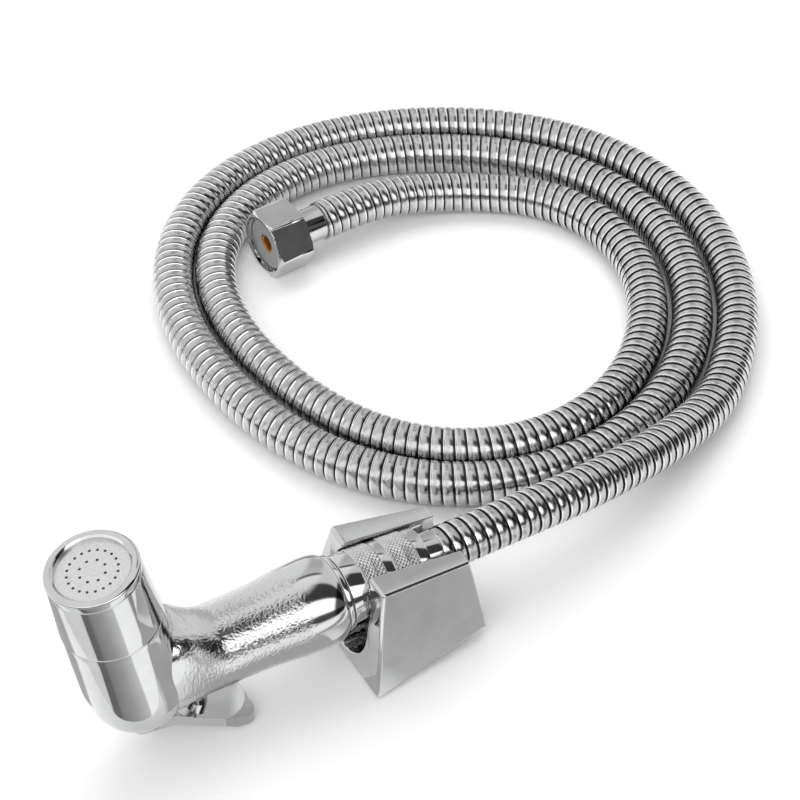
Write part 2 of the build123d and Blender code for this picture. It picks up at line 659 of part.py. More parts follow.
def hose_parts():
    """Free run, coil and tail of the hose, one ribbed tube each."""
    start, start_dir = coil_point(COIL_START), coil_direction(COIL_START)
    stop, stop_dir = coil_point(COIL_END), coil_direction(COIL_END)
    nozzle = Vector(HOSE_START, 0, AXIS_Z)
    run_points = [Vector(*p) for p in RUN_POINTS]
    run = rounded_path([nozzle, *run_points, start - start_dir * RUN_LEAD, start])
    ferrule_face = Vector(*(FAR.origin + FAR.z_dir * FAR_HOSE))
    tail_points = [Vector(*p) for p in TAIL_POINTS]
    approach = ferrule_face + FAR.z_dir * FERRULE_LEAD
    tail = rounded_path([stop, stop + stop_dir * TAIL_LEAD, *tail_points, approach, ferrule_face])
    angles, lengths = coil_table()
    pieces = {
        "hose_run": ribbed_hose(along(run), run.length, Vector(1, 0, 0), run % 1),
        "hose_coil": ribbed_hose(coil_place(angles, lengths), lengths[-1], start_dir, stop_dir),
        "hose_tail": ribbed_hose(along(tail), tail.length, tail % 0, -FAR.z_dir),
    }
    print("  lengths", round(run.length, 1), round(lengths[-1], 1), round(tail.length, 1),
          "total", round(run.length + lengths[-1] + tail.length, 1))
    print("  ribs", [ribs for solid, ribs in pieces.values()])
    print("  run end to coil, degrees", round((run % 1).get_angle(start_dir), 2),
          "coil to tail", round((tail % 0).get_angle(stop_dir), 2))
    turns = [coil_point(a) for a in range(round(COIL_START), round(COIL_END), 3)]
    gap = min((a - b).length for i, a in enumerate(turns) for b in turns[i + 60:]) - 2 * HOSE_R
    print("  least gap of the coil to itself", round(gap, 2))
    return {name: solid for name, (solid, ribs) in pieces.items()}


# ---- wall bracket ----
def bracket_quad(foot, tip, foot_half, tip_half):
    """Corners of the trapezoid across the bracket from (x, z) feet and tips."""
    return [
        Vector(foot[0], -foot_half, foot[1]), Vector(foot[0], foot_half, foot[1]),
        Vector(tip[0], tip_half, tip[1]), Vector(tip[0], -tip_half, tip[1]),
    ]


def flat_block(front, rear):
    """Solid with flat faces between two quadrilaterals."""
    sides = [[front[i], front[(i + 1) % 4], rear[(i + 1) % 4], rear[i]] for i in range(4)]
    faces = [Face(Wire.make_polygon(quad, close=True)) for quad in [front, rear] + sides]
    return Solid(Shell(faces))


def rear_foot_half():
    """Half width at the rear foot that keeps each cheek flat."""
    tip_a = Vector(FRONT_TIP_X, FRONT_TIP_HALF, FRONT_TIP_Z)
    tip_b = Vector(REAR_TIP_X, REAR_TIP_HALF, REAR_TIP_Z)
    foot = Vector(FRONT_FOOT_X, FRONT_FOOT_HALF, 0)
    normal = (tip_b - tip_a).cross(foot - tip_a)
    rest = normal.X * (REAR_FOOT_X - foot.X) + normal.Z * REAR_FOOT_Z
    return foot.Y - rest / normal.Y


def channel(x, centre_z, radius):
    """Circle across the bracket's channel."""
    return Wire.make_circle(radius, Plane(origin=(x, 0, centre_z), x_dir=(0, 0, 1), z_dir=(1, 0, 0)))


def bracket():
    front = bracket_quad((FRONT_FOOT_X, 0), (FRONT_TIP_X, FRONT_TIP_Z), FRONT_FOOT_HALF, FRONT_TIP_HALF)
    rear = bracket_quad((REAR_FOOT_X, REAR_FOOT_Z), (REAR_TIP_X, REAR_TIP_Z),
                        rear_foot_half(), REAR_TIP_HALF)
    block = flat_block(front, rear)
    block = fillet(block.edges(), BRACKET_EDGE)
    before, after = FRONT_FOOT_X - 5, REAR_FOOT_X + 5
    low = Solid.make_loft([channel(before, CRADLE_FRONT_Z, CRADLE_FRONT_R),
                           channel(after, CRADLE_REAR_Z, CRADLE_REAR_R)], ruled=True)
    high_radii = [NUT_BIG_R - NUT_TAPER * (x - NUT_START) + PRONG_CLEAR for x in (before, after)]
    high = Solid.make_loft([channel(before, AXIS_Z, high_radii[0]),
                            channel(after, AXIS_Z, high_radii[1])], ruled=True)
    flanks = []
    for x, foot_z, foot_r, top_r in ((before, CRADLE_FRONT_Z, CRADLE_FRONT_R, high_radii[0]),
                                     (after, CRADLE_REAR_Z, CRADLE_REAR_R, high_radii[1])):
        flanks.append(Polyline((x, -foot_r, foot_z), (x, foot_r, foot_z),
                               (x, top_r, AXIS_Z), (x, -top_r, AXIS_Z), close=True).wire())
    middle = Solid.make_loft(flanks, ruled=True)
    slot = Pos((before + after) / 2, 0, AXIS_Z + FRONT_TIP_Z / 2) * Box(
        after - before, 2 * SLOT_HALF, FRONT_TIP_Z)
    body = block - low - high - middle - slot
    tilt = atan2(REAR_FOOT_Z, REAR_FOOT_X - FRONT_FOOT_X)
    for spot in SCREW_SPOTS:
        wall = Plane(origin=(FRONT_FOOT_X + spot * cos(tilt), 0, spot * sin(tilt)),
                     x_dir=(cos(tilt), 0, sin(tilt)), z_dir=(-sin(tilt), 0, cos(tilt)))
        body -= rod(wall, SCREW_HOLE_R, -1, CRADLE_FRONT_Z)
    return body


# ---- export ----
def main():
    builders = (
        handle_body, head_sleeve, nozzle_cap, spray_plate, face_gasket, flow_diffuser, head_o_ring,
        valve_seat, stem_gland, stem_o_ring, valve_stem, valve_washer, washer_retainer, valve_spring,
        trigger_lever, lever_pin, end_collar, inlet_nipple, inlet_washer, conical_nut, near_insert,
        near_ferrule, hex_nut, far_washer, far_insert, far_ferrule, bracket,
    )
    pieces = {build.__name__: build() for build in builders}
    pieces.update(hose_parts())
    os.makedirs("parts", exist_ok=True)
    for name, shape in pieces.items():
        export_step(Pos(ORIGIN_SHIFT, 0, 0) * shape, f"parts/{name}.step")


main()
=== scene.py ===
"""Looks of a handheld bath sprayer: chromed handset, ribbed metal hose and wall bracket."""
import json

import bmesh
import bpy
import numpy as np
from bpy.props import FloatProperty, FloatVectorProperty, IntProperty, PointerProperty
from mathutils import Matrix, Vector


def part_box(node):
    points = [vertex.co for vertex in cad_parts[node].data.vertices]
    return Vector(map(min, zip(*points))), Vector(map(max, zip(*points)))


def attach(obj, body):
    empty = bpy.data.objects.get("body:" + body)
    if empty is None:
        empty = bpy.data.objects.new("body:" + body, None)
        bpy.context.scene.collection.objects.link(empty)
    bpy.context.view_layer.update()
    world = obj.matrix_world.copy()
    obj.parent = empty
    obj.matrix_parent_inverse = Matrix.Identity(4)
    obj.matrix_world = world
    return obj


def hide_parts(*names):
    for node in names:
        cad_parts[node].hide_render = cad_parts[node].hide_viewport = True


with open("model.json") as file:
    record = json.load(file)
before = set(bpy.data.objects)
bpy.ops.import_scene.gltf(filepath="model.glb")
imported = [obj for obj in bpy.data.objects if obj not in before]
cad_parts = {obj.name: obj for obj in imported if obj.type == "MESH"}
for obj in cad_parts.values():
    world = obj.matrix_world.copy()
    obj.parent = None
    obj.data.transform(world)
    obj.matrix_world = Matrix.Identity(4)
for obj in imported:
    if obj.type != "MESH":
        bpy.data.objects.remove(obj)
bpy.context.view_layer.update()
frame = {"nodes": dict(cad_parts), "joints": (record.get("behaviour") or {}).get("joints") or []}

bl_info = {
    "name": "Bath Sprayer Finish",
    "version": (1, 0, 0),
    "blender": (4, 5, 0),
    "location": "View3D > Sidebar > Sprayer",
    "description": "Builds the chromed surfaces, the ribbed hose and the stage of a bath sprayer",
    "category": "Object",
}

MM = 0.001
TAU = 2 * np.pi
JOINTS = {joint["name"]: joint for joint in frame["joints"]}


# ---------------------------------------------------------------- places
def unit(vector):
    vector = np.asarray(vector, float)
    return vector / np.linalg.norm(vector)


def units(vectors):
    return vectors / np.linalg.norm(vectors, axis=-1)[..., None]


class Place:
    """A local frame in millimetres: origin, and x, y, z directions, z along the part's axis."""

    def __init__(self, origin, z_dir, x_hint):
        self.origin = np.asarray(origin, float)
        self.z = unit(z_dir)
        self.x = unit(np.asarray(x_hint, float) - np.dot(x_hint, self.z) * self.z)
        self.y = np.cross(self.z, self.x)

    def put(self, local):
        """Local (..., 3) millimetres to the row's millimetres."""
        local = np.asarray(local, float)
        return (self.origin + local[..., 0:1] * self.x + local[..., 1:2] * self.y
                + local[..., 2:3] * self.z)


def joint_axis(name):
    """A point on a joint's axis in the row's millimetres, and the axis's direction."""
    return np.array(JOINTS[name]["pos_m"]) / MM, np.array(JOINTS[name]["axis"])


COLLAR_R, COLLAR_BORE_R, COLLAR_FOOT, COLLAR_TOP = 11.8, 9.3, -0.5, 1.1
HEX_LENGTH = 13.5
END_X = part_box("end_collar")[0].x / MM - COLLAR_FOOT  # the handle's end, in the row
AXIS_Z = joint_axis("handset_nut_turn")[0][2]
HEAD = Place(*joint_axis("head_swivel"), (1, 0, 0))
INLET = Place((END_X, 0, AXIS_Z), (1, 0, 0), (0, 0, 1))
HEX_CENTRE, HEX_AXIS = joint_axis("supply_nut_turn")
FAR = Place(HEX_CENTRE - HEX_AXIS * HEX_LENGTH / 2, HEX_AXIS, (0, 0, 1))


# ---------------------------------------------------------------- sizes and colours
class SprayerHoseSizes(bpy.types.PropertyGroup):
    """Sizes of the strip-wound hose, in millimetres."""
    radius: FloatProperty(name="Radius", description="Outside radius of the hose in mm",
                          default=7.0)
    bore: FloatProperty(name="Bore", description="Radius of the hose's bore in mm", default=4.6)
    pitch: FloatProperty(name="Pitch", description="Length of one winding in mm", default=3.6)
    groove: FloatProperty(name="Groove", description="Depth of the groove between windings in mm",
                          default=0.62)
    steps: IntProperty(name="Steps", description="Steps round the hose", default=28, min=12)


class SprayerKnurlSizes(bpy.types.PropertyGroup):
    """Sizes of the cone nut's knurl."""
    diamonds: IntProperty(name="Diamonds", description="Diamonds round the nut", default=50, min=12)
    depth: FloatProperty(name="Depth", description="Depth of the knurl in mm", default=0.32)
    samples: IntProperty(name="Samples", description="Grid steps across a diamond", default=8,
                         min=4)


class SprayerGrainSizes(bpy.types.PropertyGroup):
    """Sizes of the grip's cast grain."""
    cell: FloatProperty(name="Cell", description="Width of a grain in mm", default=0.48)
    height: FloatProperty(name="Height", description="Height of the grain in mm", default=0.14)
    step: FloatProperty(name="Step", description="Grid step of the grained skin in mm",
                        default=0.215)


class SprayerColours(bpy.types.PropertyGroup):
    """Colours of the finishes."""
    chrome: FloatVectorProperty(name="Chrome", description="Colour of the chrome plating",
                                subtype="COLOR", default=(0.64, 0.645, 0.65))
    hose: FloatVectorProperty(name="Hose", description="Colour of the hose's steel",
                              subtype="COLOR", default=(0.56, 0.56, 0.56))
    plate: FloatVectorProperty(name="Plate", description="Colour of the spray plate",
                               subtype="COLOR", default=(0.70, 0.70, 0.71))
    brass: FloatVectorProperty(name="Brass", description="Colour of bare brass",
                               subtype="COLOR", default=(0.80, 0.42, 0.10))
    washer: FloatVectorProperty(name="Washer", description="Colour of the grey washers",
                                subtype="COLOR", default=(0.36, 0.37, 0.38))
    rubber: FloatVectorProperty(name="Rubber", description="Colour of the black seals",
                                subtype="COLOR", default=(0.02, 0.02, 0.02))
    nylon: FloatVectorProperty(name="Nylon", description="Colour of the moulded diffuser",
                               subtype="COLOR", default=(0.80, 0.80, 0.77))


# ---------------------------------------------------------------- mesh making
WELD_REACH, LEAST_EDGE = 2e-7, 1e-8                   # in metres
STEPS, HEAD_STEPS, WASHER_STEPS, MOUTH_STEPS = 128, 160, 96, 64      # round a turned piece
SIDE_SHARE = 0.49                                     # of a side, at most, for one corner's arc


def new_object(name, data):
    piece = bpy.data.objects.new(name, data)
    bpy.context.scene.collection.objects.link(piece)
    return piece


def welded(mesh, reach, *steps):
    """Welds a mesh's points within reach and runs further bmesh steps on it."""
    work = bmesh.new()
    work.from_mesh(mesh)
    bmesh.ops.remove_doubles(work, verts=work.verts, dist=reach)
    for step in steps:
        step(work)
    work.to_mesh(mesh)
    work.free()


def mesh_piece(name, points, faces, sharp=35.0, share=None):
    """Welded object from millimetre points and quads, smooth except at edges sharper than an
    angle. A share is the name and the point values of an attribute for its material."""
    mesh = bpy.data.meshes.new(name)
    mesh.from_pydata((np.asarray(points, float) * MM).reshape(-1, 3), [], faces.tolist())
    if share:
        layer = mesh.attributes.new(share[0], "FLOAT", "POINT")
        layer.data.foreach_set("value", np.asarray(share[1], float).ravel())
    welded(mesh, WELD_REACH,
           lambda work: bmesh.ops.dissolve_degenerate(work, edges=work.edges, dist=LEAST_EDGE))
    mesh.validate()
    mesh.shade_smooth()
    mesh.set_sharp_from_angle(angle=np.radians(sharp))
    return new_object(name, mesh)


def grid_faces(rows, columns, close_rows=False, close_columns=True):
    """Quads of a grid whose columns run round and whose rows run along, as index arrays."""
    i = np.arange(rows if close_rows else rows - 1)
    j = np.arange(columns if close_columns else columns - 1)
    i, j = np.meshgrid(i, j, indexing="ij")
    below, above = (i + 1) % rows, (j + 1) % columns
    quads = [i * columns + j, i * columns + above, below * columns + above, below * columns + j]
    return np.stack(quads, -1).reshape(-1, 4)


def polar(r, angle, h):
    """Points (r cos a, r sin a, h) at the angles a."""
    return np.stack([r * np.cos(angle), r * np.sin(angle), h + 0 * angle], -1)


def turned(place, outline, steps=STEPS, closed=True):
    """Surface of revolution: points (r cos a, r sin a, h) for an outline of (r, h) that runs
    up the outside and down the inside."""
    outline = np.asarray(outline, float)
    angle = np.arange(steps) * TAU / steps
    points = place.put(polar(outline[:, 0:1], angle, outline[:, 1:2]))
    return points, grid_faces(len(outline), steps, close_rows=closed)


def joined(*grids):
    """Several (points, faces) grids as one."""
    points, faces, base = [], [], 0
    for some, quads in grids:
        some = some.reshape(-1, 3)
        points.append(some)
        faces.append(quads + base)
        base += len(some)
    return np.concatenate(points), np.concatenate(faces)


def softened(corners, steps=5):
    """Closed outline whose corners (r, h, rounding) are rounded by arcs tangent to both sides."""
    corners = np.asarray(corners, float)
    points, rounding = corners[:, :2], corners[:, 2]
    before, after = np.roll(points, 1, 0) - points, np.roll(points, -1, 0) - points
    out = []
    for here, back, ahead, radius in zip(points, before, after, rounding):
        if radius <= 0:
            out.append(here)
            continue
        u, v = unit(back), unit(ahead)
        half = np.arccos(np.clip(np.dot(u, v), -1, 1)) / 2
        reach = min(radius / np.tan(half), SIDE_SHARE * np.linalg.norm(back),
                    SIDE_SHARE * np.linalg.norm(ahead))
        radius = reach * np.tan(half)
        centre = here + unit(u + v) * radius / np.sin(half)
        start, end = here + u * reach - centre, here + v * reach - centre
        turn = np.pi - 2 * half
        share = np.linspace(0, 1, steps)[:, None]
        arc = (np.sin((1 - share) * turn) * start + np.sin(share * turn) * end) / np.sin(turn)
        out.extend(centre + arc)
    return np.array(out)


def ring(place, radii, heights, rounding, steps=STEPS):
    """Turned ring between two radii and two heights, with the roundings of its corners:
    inside and outside at the foot, then outside and inside at the top."""
    (inner, outer), (foot, top) = radii, heights
    corners = ((inner, foot), (outer, foot), (outer, top), (inner, top))
    return turned(place, softened([(*corner, r) for corner, r in zip(corners, rounding)]), steps)


def smoothstep(t):
    t = np.clip(t, 0, 1)
    return t * t * (3 - 2 * t)


def superellipse(value, power):
    """Signed sine or cosine, as a superellipse of the power has it."""
    return np.sign(value) * np.abs(value) ** (2 / power)


# ---------------------------------------------------------------- materials
NOISE_SPAN = (0.3, 0.7)          # between these a noise texture's values mostly lie
RAMP_SPAN = (0.35, 0.65)         # the part of them over which a tint changes
# the lips' painted highlight and the grooves' painted shade, put into the hose's base colour
LIP_PAINTED_HIGHLIGHT, GROOVE_PAINTED_SHADE = (0.97, 0.97, 0.97), 0.08
HOSE_GLOSS = (0.12, 0.28)
# finishes with one noise: material, colour setting, metallic, roughness, the noise's scale and
# detail, the factors of its tint, and its relief as a distance in metres and a strength
TEXTURED = {
    "hose": ("hose_steel", "hose", 1.0, 0.2, 420, 4, (0.84, 1.12), (0.00012, 0.5)),
    "satin": ("satin_plate", "plate", 0.85, 0.34, 3200, 2, (0.86, 1.12), (0.00004, 0.6)),
    "brass": ("turned_brass", "brass", 0.9, 0.28, 900, 3, (0.8, 1.15), (0.00005, 0.5)),
    "washer": ("grey_washer", "washer", 0.0, 0.55, 1500, 3, (0.85, 1.15), (0.00006, 0.6)),
    "rubber": ("black_rubber", "rubber", 0.0, 0.6, 1500, 3, (0.85, 1.15), (0.00006, 0.6)),
    "nylon": ("moulded_nylon", "nylon", 0.0, 0.45, 1500, 3, (0.85, 1.15), (0.00006, 0.6)),
}


def new_material(name, colour, metallic, roughness):
    material = bpy.data.materials.new(name)
    material.use_nodes = True
    shader = material.node_tree.nodes["Principled BSDF"]
    shader.inputs["Base Color"].default_value = (*colour, 1)
    shader.inputs["Metallic"].default_value = metallic
    shader.inputs["Roughness"].default_value = roughness
    return material, shader


def feed(tree, socket, value):
    """Links a node's input to the value where that is a socket, or sets the input to it."""
    if isinstance(value, bpy.types.NodeSocket):
        tree.links.new(value, socket)
    else:
        socket.default_value = value


def noise(tree, scale, detail):
    """Noise on Object coordinates, in features per metre."""
    texture = tree.nodes.new("ShaderNodeTexNoise")
    feed(tree, texture.inputs["Vector"], tree.nodes.new("ShaderNodeTexCoord").outputs["Object"])
    feed(tree, texture.inputs["Scale"], scale)
    feed(tree, texture.inputs["Detail"], detail)
    return texture.outputs["Fac"]


def attribute(tree, name):
    """Values that the piece's mesh has under the name."""
    node = tree.nodes.new("ShaderNodeAttribute")
    node.attribute_name = name
    return node.outputs["Fac"]


def math_node(tree, operation, first, second):
    node = tree.nodes.new("ShaderNodeMath")
    node.operation = operation
    feed(tree, node.inputs[0], first)
    feed(tree, node.inputs[1], second)
    return node.outputs["Value"]


def map_range(tree, source, span, low=0.0, high=1.0):
    """The source's place in a span, as a value from low to high."""
    node = tree.nodes.new("ShaderNodeMapRange")
    feed(tree, node.inputs["Value"], source)
    for name, value in zip(("From Min", "From Max", "To Min", "To Max"), (*span, low, high)):
        feed(tree, node.inputs[name], value)
    return node.outputs["Result"]


def blend(tree, kind, factor, first, second):
    mix = tree.nodes.new("ShaderNodeMix")
    mix.data_type = "RGBA"
    mix.blend_type = kind
    for name, value in (("Factor", factor), ("A", first), ("B", second)):
        feed(tree, mix.inputs[name], value)
    return mix.outputs["Result"]


def ramp(tree, source, stops):
    """Colour ramp through (position, colour) stops."""
    node = tree.nodes.new("ShaderNodeValToRGB")
    elements = node.color_ramp.elements
    for position, colour in stops[1:-1]:
        elements.new(position)
    for element, (position, colour) in zip(elements, stops):
        element.position = position
        element.color = (*colour, 1)
    feed(tree, node.inputs["Fac"], source)
    return node.outputs["Color"]


def bump(tree, shader, source, distance, strength):
    node = tree.nodes.new("ShaderNodeBump")
    for name, value in (("Height", source), ("Distance", distance), ("Strength", strength)):
        feed(tree, node.inputs[name], value)
    feed(tree, shader.inputs["Normal"], node.outputs["Normal"])


def tinted(tree, source, colour, dark, light):
    """The colour made darker and lighter by two factors, as the source says."""
    return ramp(tree, source, list(zip(RAMP_SPAN, (scaled(colour, dark), scaled(colour, light)))))


def scaled(colour, factor):
    return tuple(min(1.0, channel * factor) for channel in colour)


def textured(name, setting, metallic, roughness, scale, detail, tint, relief):
    """Material whose base colour and surface vary with one noise."""
    colour = getattr(bpy.context.scene.sprayer_colours, setting)
    material, shader = new_material(name, colour, metallic, roughness)
    tree = material.node_tree
    source = noise(tree, scale, detail)
    feed(tree, shader.inputs["Base Color"], tinted(tree, source, colour, *tint))
    bump(tree, shader, source, *relief)
    return material, shader, source


def chrome_finish(name="bright_chrome", roughness=0.05, ripple=0.6):
    """Plated metal: faint smears in the gloss and a very slight waviness."""
    colour = bpy.context.scene.sprayer_colours.chrome
    material, shader = new_material(name, colour, 1.0, roughness)
    tree = material.node_tree
    smear = noise(tree, 140, 3)
    gloss = map_range(tree, smear, NOISE_SPAN, roughness * 0.7, roughness * 1.7)
    feed(tree, shader.inputs["Roughness"], gloss)
    feed(tree, shader.inputs["Base Color"], tinted(tree, smear, colour, 0.95, 1.03))
    bump(tree, shader, noise(tree, 90, 1), 0.0001 * ripple, 0.35)
    return material


def grain_finish():
    """Plating over cast grain: fine pits between the modelled grains, only where the piece's
    own grain attribute is above nought."""
    material, shader = new_material("grained_chrome", bpy.context.scene.sprayer_colours.chrome,
                                    1.0, 0.1)
    tree = material.node_tree
    pits = math_node(tree, "MULTIPLY", noise(tree, 2600, 2), attribute(tree, "grain"))
    bump(tree, shader, pits, 0.00007, 1.0)
    return material


def hose_finish():
    """Rolled steel strip: fine streaks and small changes of gloss, with painted shade darkening the
    grooves where the piece's groove attribute is above nought and a painted highlight lightening
    the lips where it is below."""
    material, shader, streak = textured(*TEXTURED["hose"])
    tree = material.node_tree
    feed(tree, shader.inputs["Roughness"], map_range(tree, streak, NOISE_SPAN, *HOSE_GLOSS))
    surface = shader.inputs["Base Color"].links[0].from_socket
    groove = attribute(tree, "groove")
    dark = scaled(bpy.context.scene.sprayer_colours.hose, GROOVE_PAINTED_SHADE)
    # a painted highlight on the lips, then painted shade in the grooves
    for share, shade in ((math_node(tree, "MULTIPLY", groove, -1.0), LIP_PAINTED_HIGHLIGHT), (groove, dark)):
        surface = blend(tree, "MIX", share, surface, (*shade, 1))
    feed(tree, shader.inputs["Base Color"], surface)
    return material


MATERIALS = {}
MAKERS = {
    "chrome": chrome_finish,
    "chrome_plastic": lambda: chrome_finish("plated_plastic", 0.075, 1.6),
    "chrome_grain": grain_finish,
    "hose": hose_finish,
}


def finish(name):
    """The named finish, made once."""
    if name not in MATERIALS:
        MATERIALS[name] = MAKERS[name]() if name in MAKERS else textured(*TEXTURED[name])[0]
    return MATERIALS[name]


def dress(piece, finish_name, body, slot, *nodes):
    """Gives a new piece its finish and its body, and hides the nodes it stands for; the slot is not
    used.
    """
    piece.data.materials.clear()
    piece.data.materials.append(finish(finish_name))
    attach(piece, body)
    if nodes:
        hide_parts(*nodes)
    return piece


# ---------------------------------------------------------------- handset shapes
SEAM_HEIGHT, WAIST_HEIGHT, DOME_DEPTH, DOME_POWER = 28.0, 3.0, 14.5, 2.4
WAIST_R, SEAM_R, TAPER_BOW = 14.6, 13.9, 1.4
SEAM_GAP, SEAM_ROUNDING = 0.1, 0.45
SPIGOT_R, SPIGOT_LENGTH, CHAMBER_R, CHAMBER_FLOOR = 11.4, 7.0, 9.0, 8.0
GRIP_R, FLARE_R, END_R = 12.0, 13.6, 11.7
FLARE_START, FLARE_BACK, END_BACK = 32.0, 7.0, 0.5
FLARE_EASE, SHOULDER_POWER = 1.3, 2.2
NECK_FROM, NECK_END, NECK_RISE, NECK_DROP, NECK_FLANK = 37.0, 60.0, 6.8, 1.8, 0.8
RISE_CURVE, RISE_POWER, DROP_CURVE, DROP_POWER, DROP_BACK = 0.047, 6, 0.028, 4, 7
NECK_SQUARE, SQUARE_LENGTH, FLANK_LENGTH = 1.3, 18, 20
LUG_W, LUG_R, LUG_RISE = 3.6, 2.0, 8.0
HEAD_BACK = 62.0
FACE_HEIGHT, CAP_HEIGHT = 50.4, 2.8
SLEEVE_FOOT_R, SLEEVE_TOP_R, SLEEVE_BORE_R, RIM_R, FIT = 14.2, 12.9, 9.4, 13.0, 0.05
CAP_OPENING_R, CAP_LIP, CAP_BEVEL = 10.3, 1.5, 0.65
SKIRT_R, SKIRT_WALL, SKIRT_LENGTH = 11.95, 1.0, 4.2
GRAIN_FROM, GRAIN_TO, GRAIN_FADE_IN, GRAIN_FADE_OUT = 56.0, 10.0, 6, 5
# layers of the grain: share of the height, share of the cell, and the noise's seed
GRAIN_LAYERS = ((0.6, 1.0, 3), (0.4, 0.6, 8))


def barrel_side():
    """Barrel outline from the dome's pole to the seam: a superellipse below the waist, then
    a barely bowed taper."""
    t = np.linspace(0, np.pi / 2, 40)
    r = WAIST_R * np.sin(t) ** (2 / DOME_POWER)
    h = WAIST_HEIGHT - (WAIST_HEIGHT + DOME_DEPTH) * np.cos(t) ** (2 / DOME_POWER)
    up = np.linspace(0, 1, 12)[1:]
    side_r = WAIST_R + (SEAM_R - WAIST_R) * up ** TAPER_BOW
    side_h = WAIST_HEIGHT + (SEAM_HEIGHT - WAIST_HEIGHT) * up
    return np.concatenate([np.stack([r, h], -1), np.stack([side_r, side_h], -1)])


def barrel_grid():
    """Barrel with its rounded lip, the spigot for the sleeve and the chamber inside."""
    top, rim = SEAM_HEIGHT + SPIGOT_LENGTH, SEAM_HEIGHT - SEAM_GAP
    edge = np.radians([0, 30, 60, 90])
    lip = np.stack([SEAM_R - SEAM_ROUNDING + SEAM_ROUNDING * np.cos(edge),
                    rim - SEAM_ROUNDING + SEAM_ROUNDING * np.sin(edge)], -1)
    inside = [(SPIGOT_R, rim), (SPIGOT_R, top), (CHAMBER_R, top),
              (CHAMBER_R, -CHAMBER_FLOOR), (0, -CHAMBER_FLOOR)]
    outline = np.concatenate([barrel_side()[:-1], lip, inside])
    return turned(HEAD, outline, HEAD_STEPS, closed=False)


def grip_radius(x):
    """Radius of the grip at x from its end (x below 0): a slow smoothstep flare, then a
    shoulder rounded as a quarter superellipse."""
    flare = smoothstep(np.clip((x + FLARE_START) / (FLARE_START - FLARE_BACK), 0, 1) ** FLARE_EASE)
    radius = GRIP_R + (FLARE_R - GRIP_R) * flare
    u = np.clip((x + FLARE_BACK) / (FLARE_BACK - END_BACK), 0, 1)
    return radius - (FLARE_R - END_R) * (1 - (1 - u ** SHOULDER_POWER) ** (1 / SHOULDER_POWER))


def grain_share(x):
    """How much of the grain shows at x from the end: none in the neck and on the flare."""
    return (smoothstep((x + GRAIN_FROM) / GRAIN_FADE_IN)
            * smoothstep((-GRAIN_TO - x) / GRAIN_FADE_OUT))


def grain_lift(x, angle, sizes):
    """Height of the cast grain in mm: two layers of lattice noise, faded out at both ends."""
    lift = np.zeros(np.broadcast(x, angle).shape)
    for share, fineness, seed in GRAIN_LAYERS:
        cell = sizes.cell * fineness
        cells_v = int(TAU * GRIP_R / cell)
        u = np.clip((x + HEAD_BACK) / cell, 0, None) + 0 * angle
        lift += share * lattice_noise(u, angle / TAU * cells_v + 0 * x,
                                      int(HEAD_BACK / cell) + 1, cells_v, seed)
    return sizes.height * (lift - 0.5) * grain_share(x)


def grip_section(x):
    """What the section at x from the casting's end has more than its radius upwards and
    downwards, its power, and what it has more sideways: round along the grip; towards the
    barrel the top rises on a parabola that levels off, the bottom sinks a little, the upper
    corners square up and the flanks widen."""
    back = np.clip(-NECK_FROM - x, 0, None)
    rise = RISE_CURVE * back ** 2 / NECK_RISE
    top = NECK_RISE * rise / (1 + rise ** RISE_POWER) ** (1 / RISE_POWER)
    under = np.clip(-NECK_FROM - DROP_BACK - x, 0, None)
    drop = DROP_CURVE * under ** 2 / NECK_DROP
    bottom = NECK_DROP * drop / (1 + drop ** DROP_POWER) ** (1 / DROP_POWER)
    power = 2 + NECK_SQUARE * smoothstep(back / SQUARE_LENGTH)
    return top, bottom, power, NECK_FLANK * smoothstep(back / FLANK_LENGTH)


def grip_grid(sizes):
    """Neck and grip in one skin: sections along the handle, each a superellipse whose upper
    half is raised and squared near the barrel, which the neck enters with a crisp line. The
    grain lifts the skin along its normal."""
    steps = int(TAU * GRIP_R / sizes.step)
    psi = np.arange(steps) * TAU / steps
    ease = np.sin(np.linspace(0, np.pi / 2, 26))
    x = np.concatenate([
        np.linspace(-NECK_END, -GRAIN_TO, int((NECK_END - GRAIN_TO) / sizes.step)),
        np.linspace(-GRAIN_TO, -FLARE_BACK, 18)[1:],
        -FLARE_BACK + (FLARE_BACK - END_BACK) * ease[1:]])[:, None]
    radius = grip_radius(x)
    top, bottom, power, flank = grip_section(x)
    up, side = np.cos(psi), np.sin(psi)
    power = np.where(up > 0, power, 2.0)
    rise = superellipse(up, power) * (radius + np.where(up > 0, top, bottom))
    flank = flank * smoothstep(0.5 + 0.7 * up)                   # widest in the upper half
    out = superellipse(side, power) * (radius + flank)
    skin = INLET.put(np.stack([rise, out, x + 0 * psi], -1))
    across_skin = np.roll(skin, -1, 1) - np.roll(skin, 1, 1)
    normal = units(np.cross(across_skin, np.gradient(skin, axis=0)))
    skin = skin + normal * grain_lift(x, psi, sizes)[..., None]
    poles = [INLET.put((0, 0, place)) + 0 * skin[0] for place in (-NECK_END, -END_BACK)]
    points = np.concatenate([poles[0][None], skin, poles[1][None]])
    return points, grid_faces(len(points), steps)


def lug_grid():
    """Tongue under the barrel that holds the lever's pin: a stadium outline, half a circle
    round the pin and straight sides up into the metal, drawn as a flat bar."""
    turn = np.pi + np.linspace(0, np.pi, 24)
    outline = np.stack([LUG_R * np.cos(turn), LUG_R * np.sin(turn)], -1)
    outline = np.concatenate([outline, [(LUG_R, LUG_RISE), (-LUG_R, LUG_RISE)]])
    pin = joint_axis("trigger_pull")[0]
    rings = [np.stack([pin[0] + outline[:, 0] * grow, 0 * outline[:, 0] + side * LUG_W / 2,
                       pin[2] + outline[:, 1] * grow], -1)
             for side, grow in ((-1, 0.0), (-1, 1.0), (1, 1.0), (1, 0.0))]
    return np.stack(rings), grid_faces(4, len(outline))


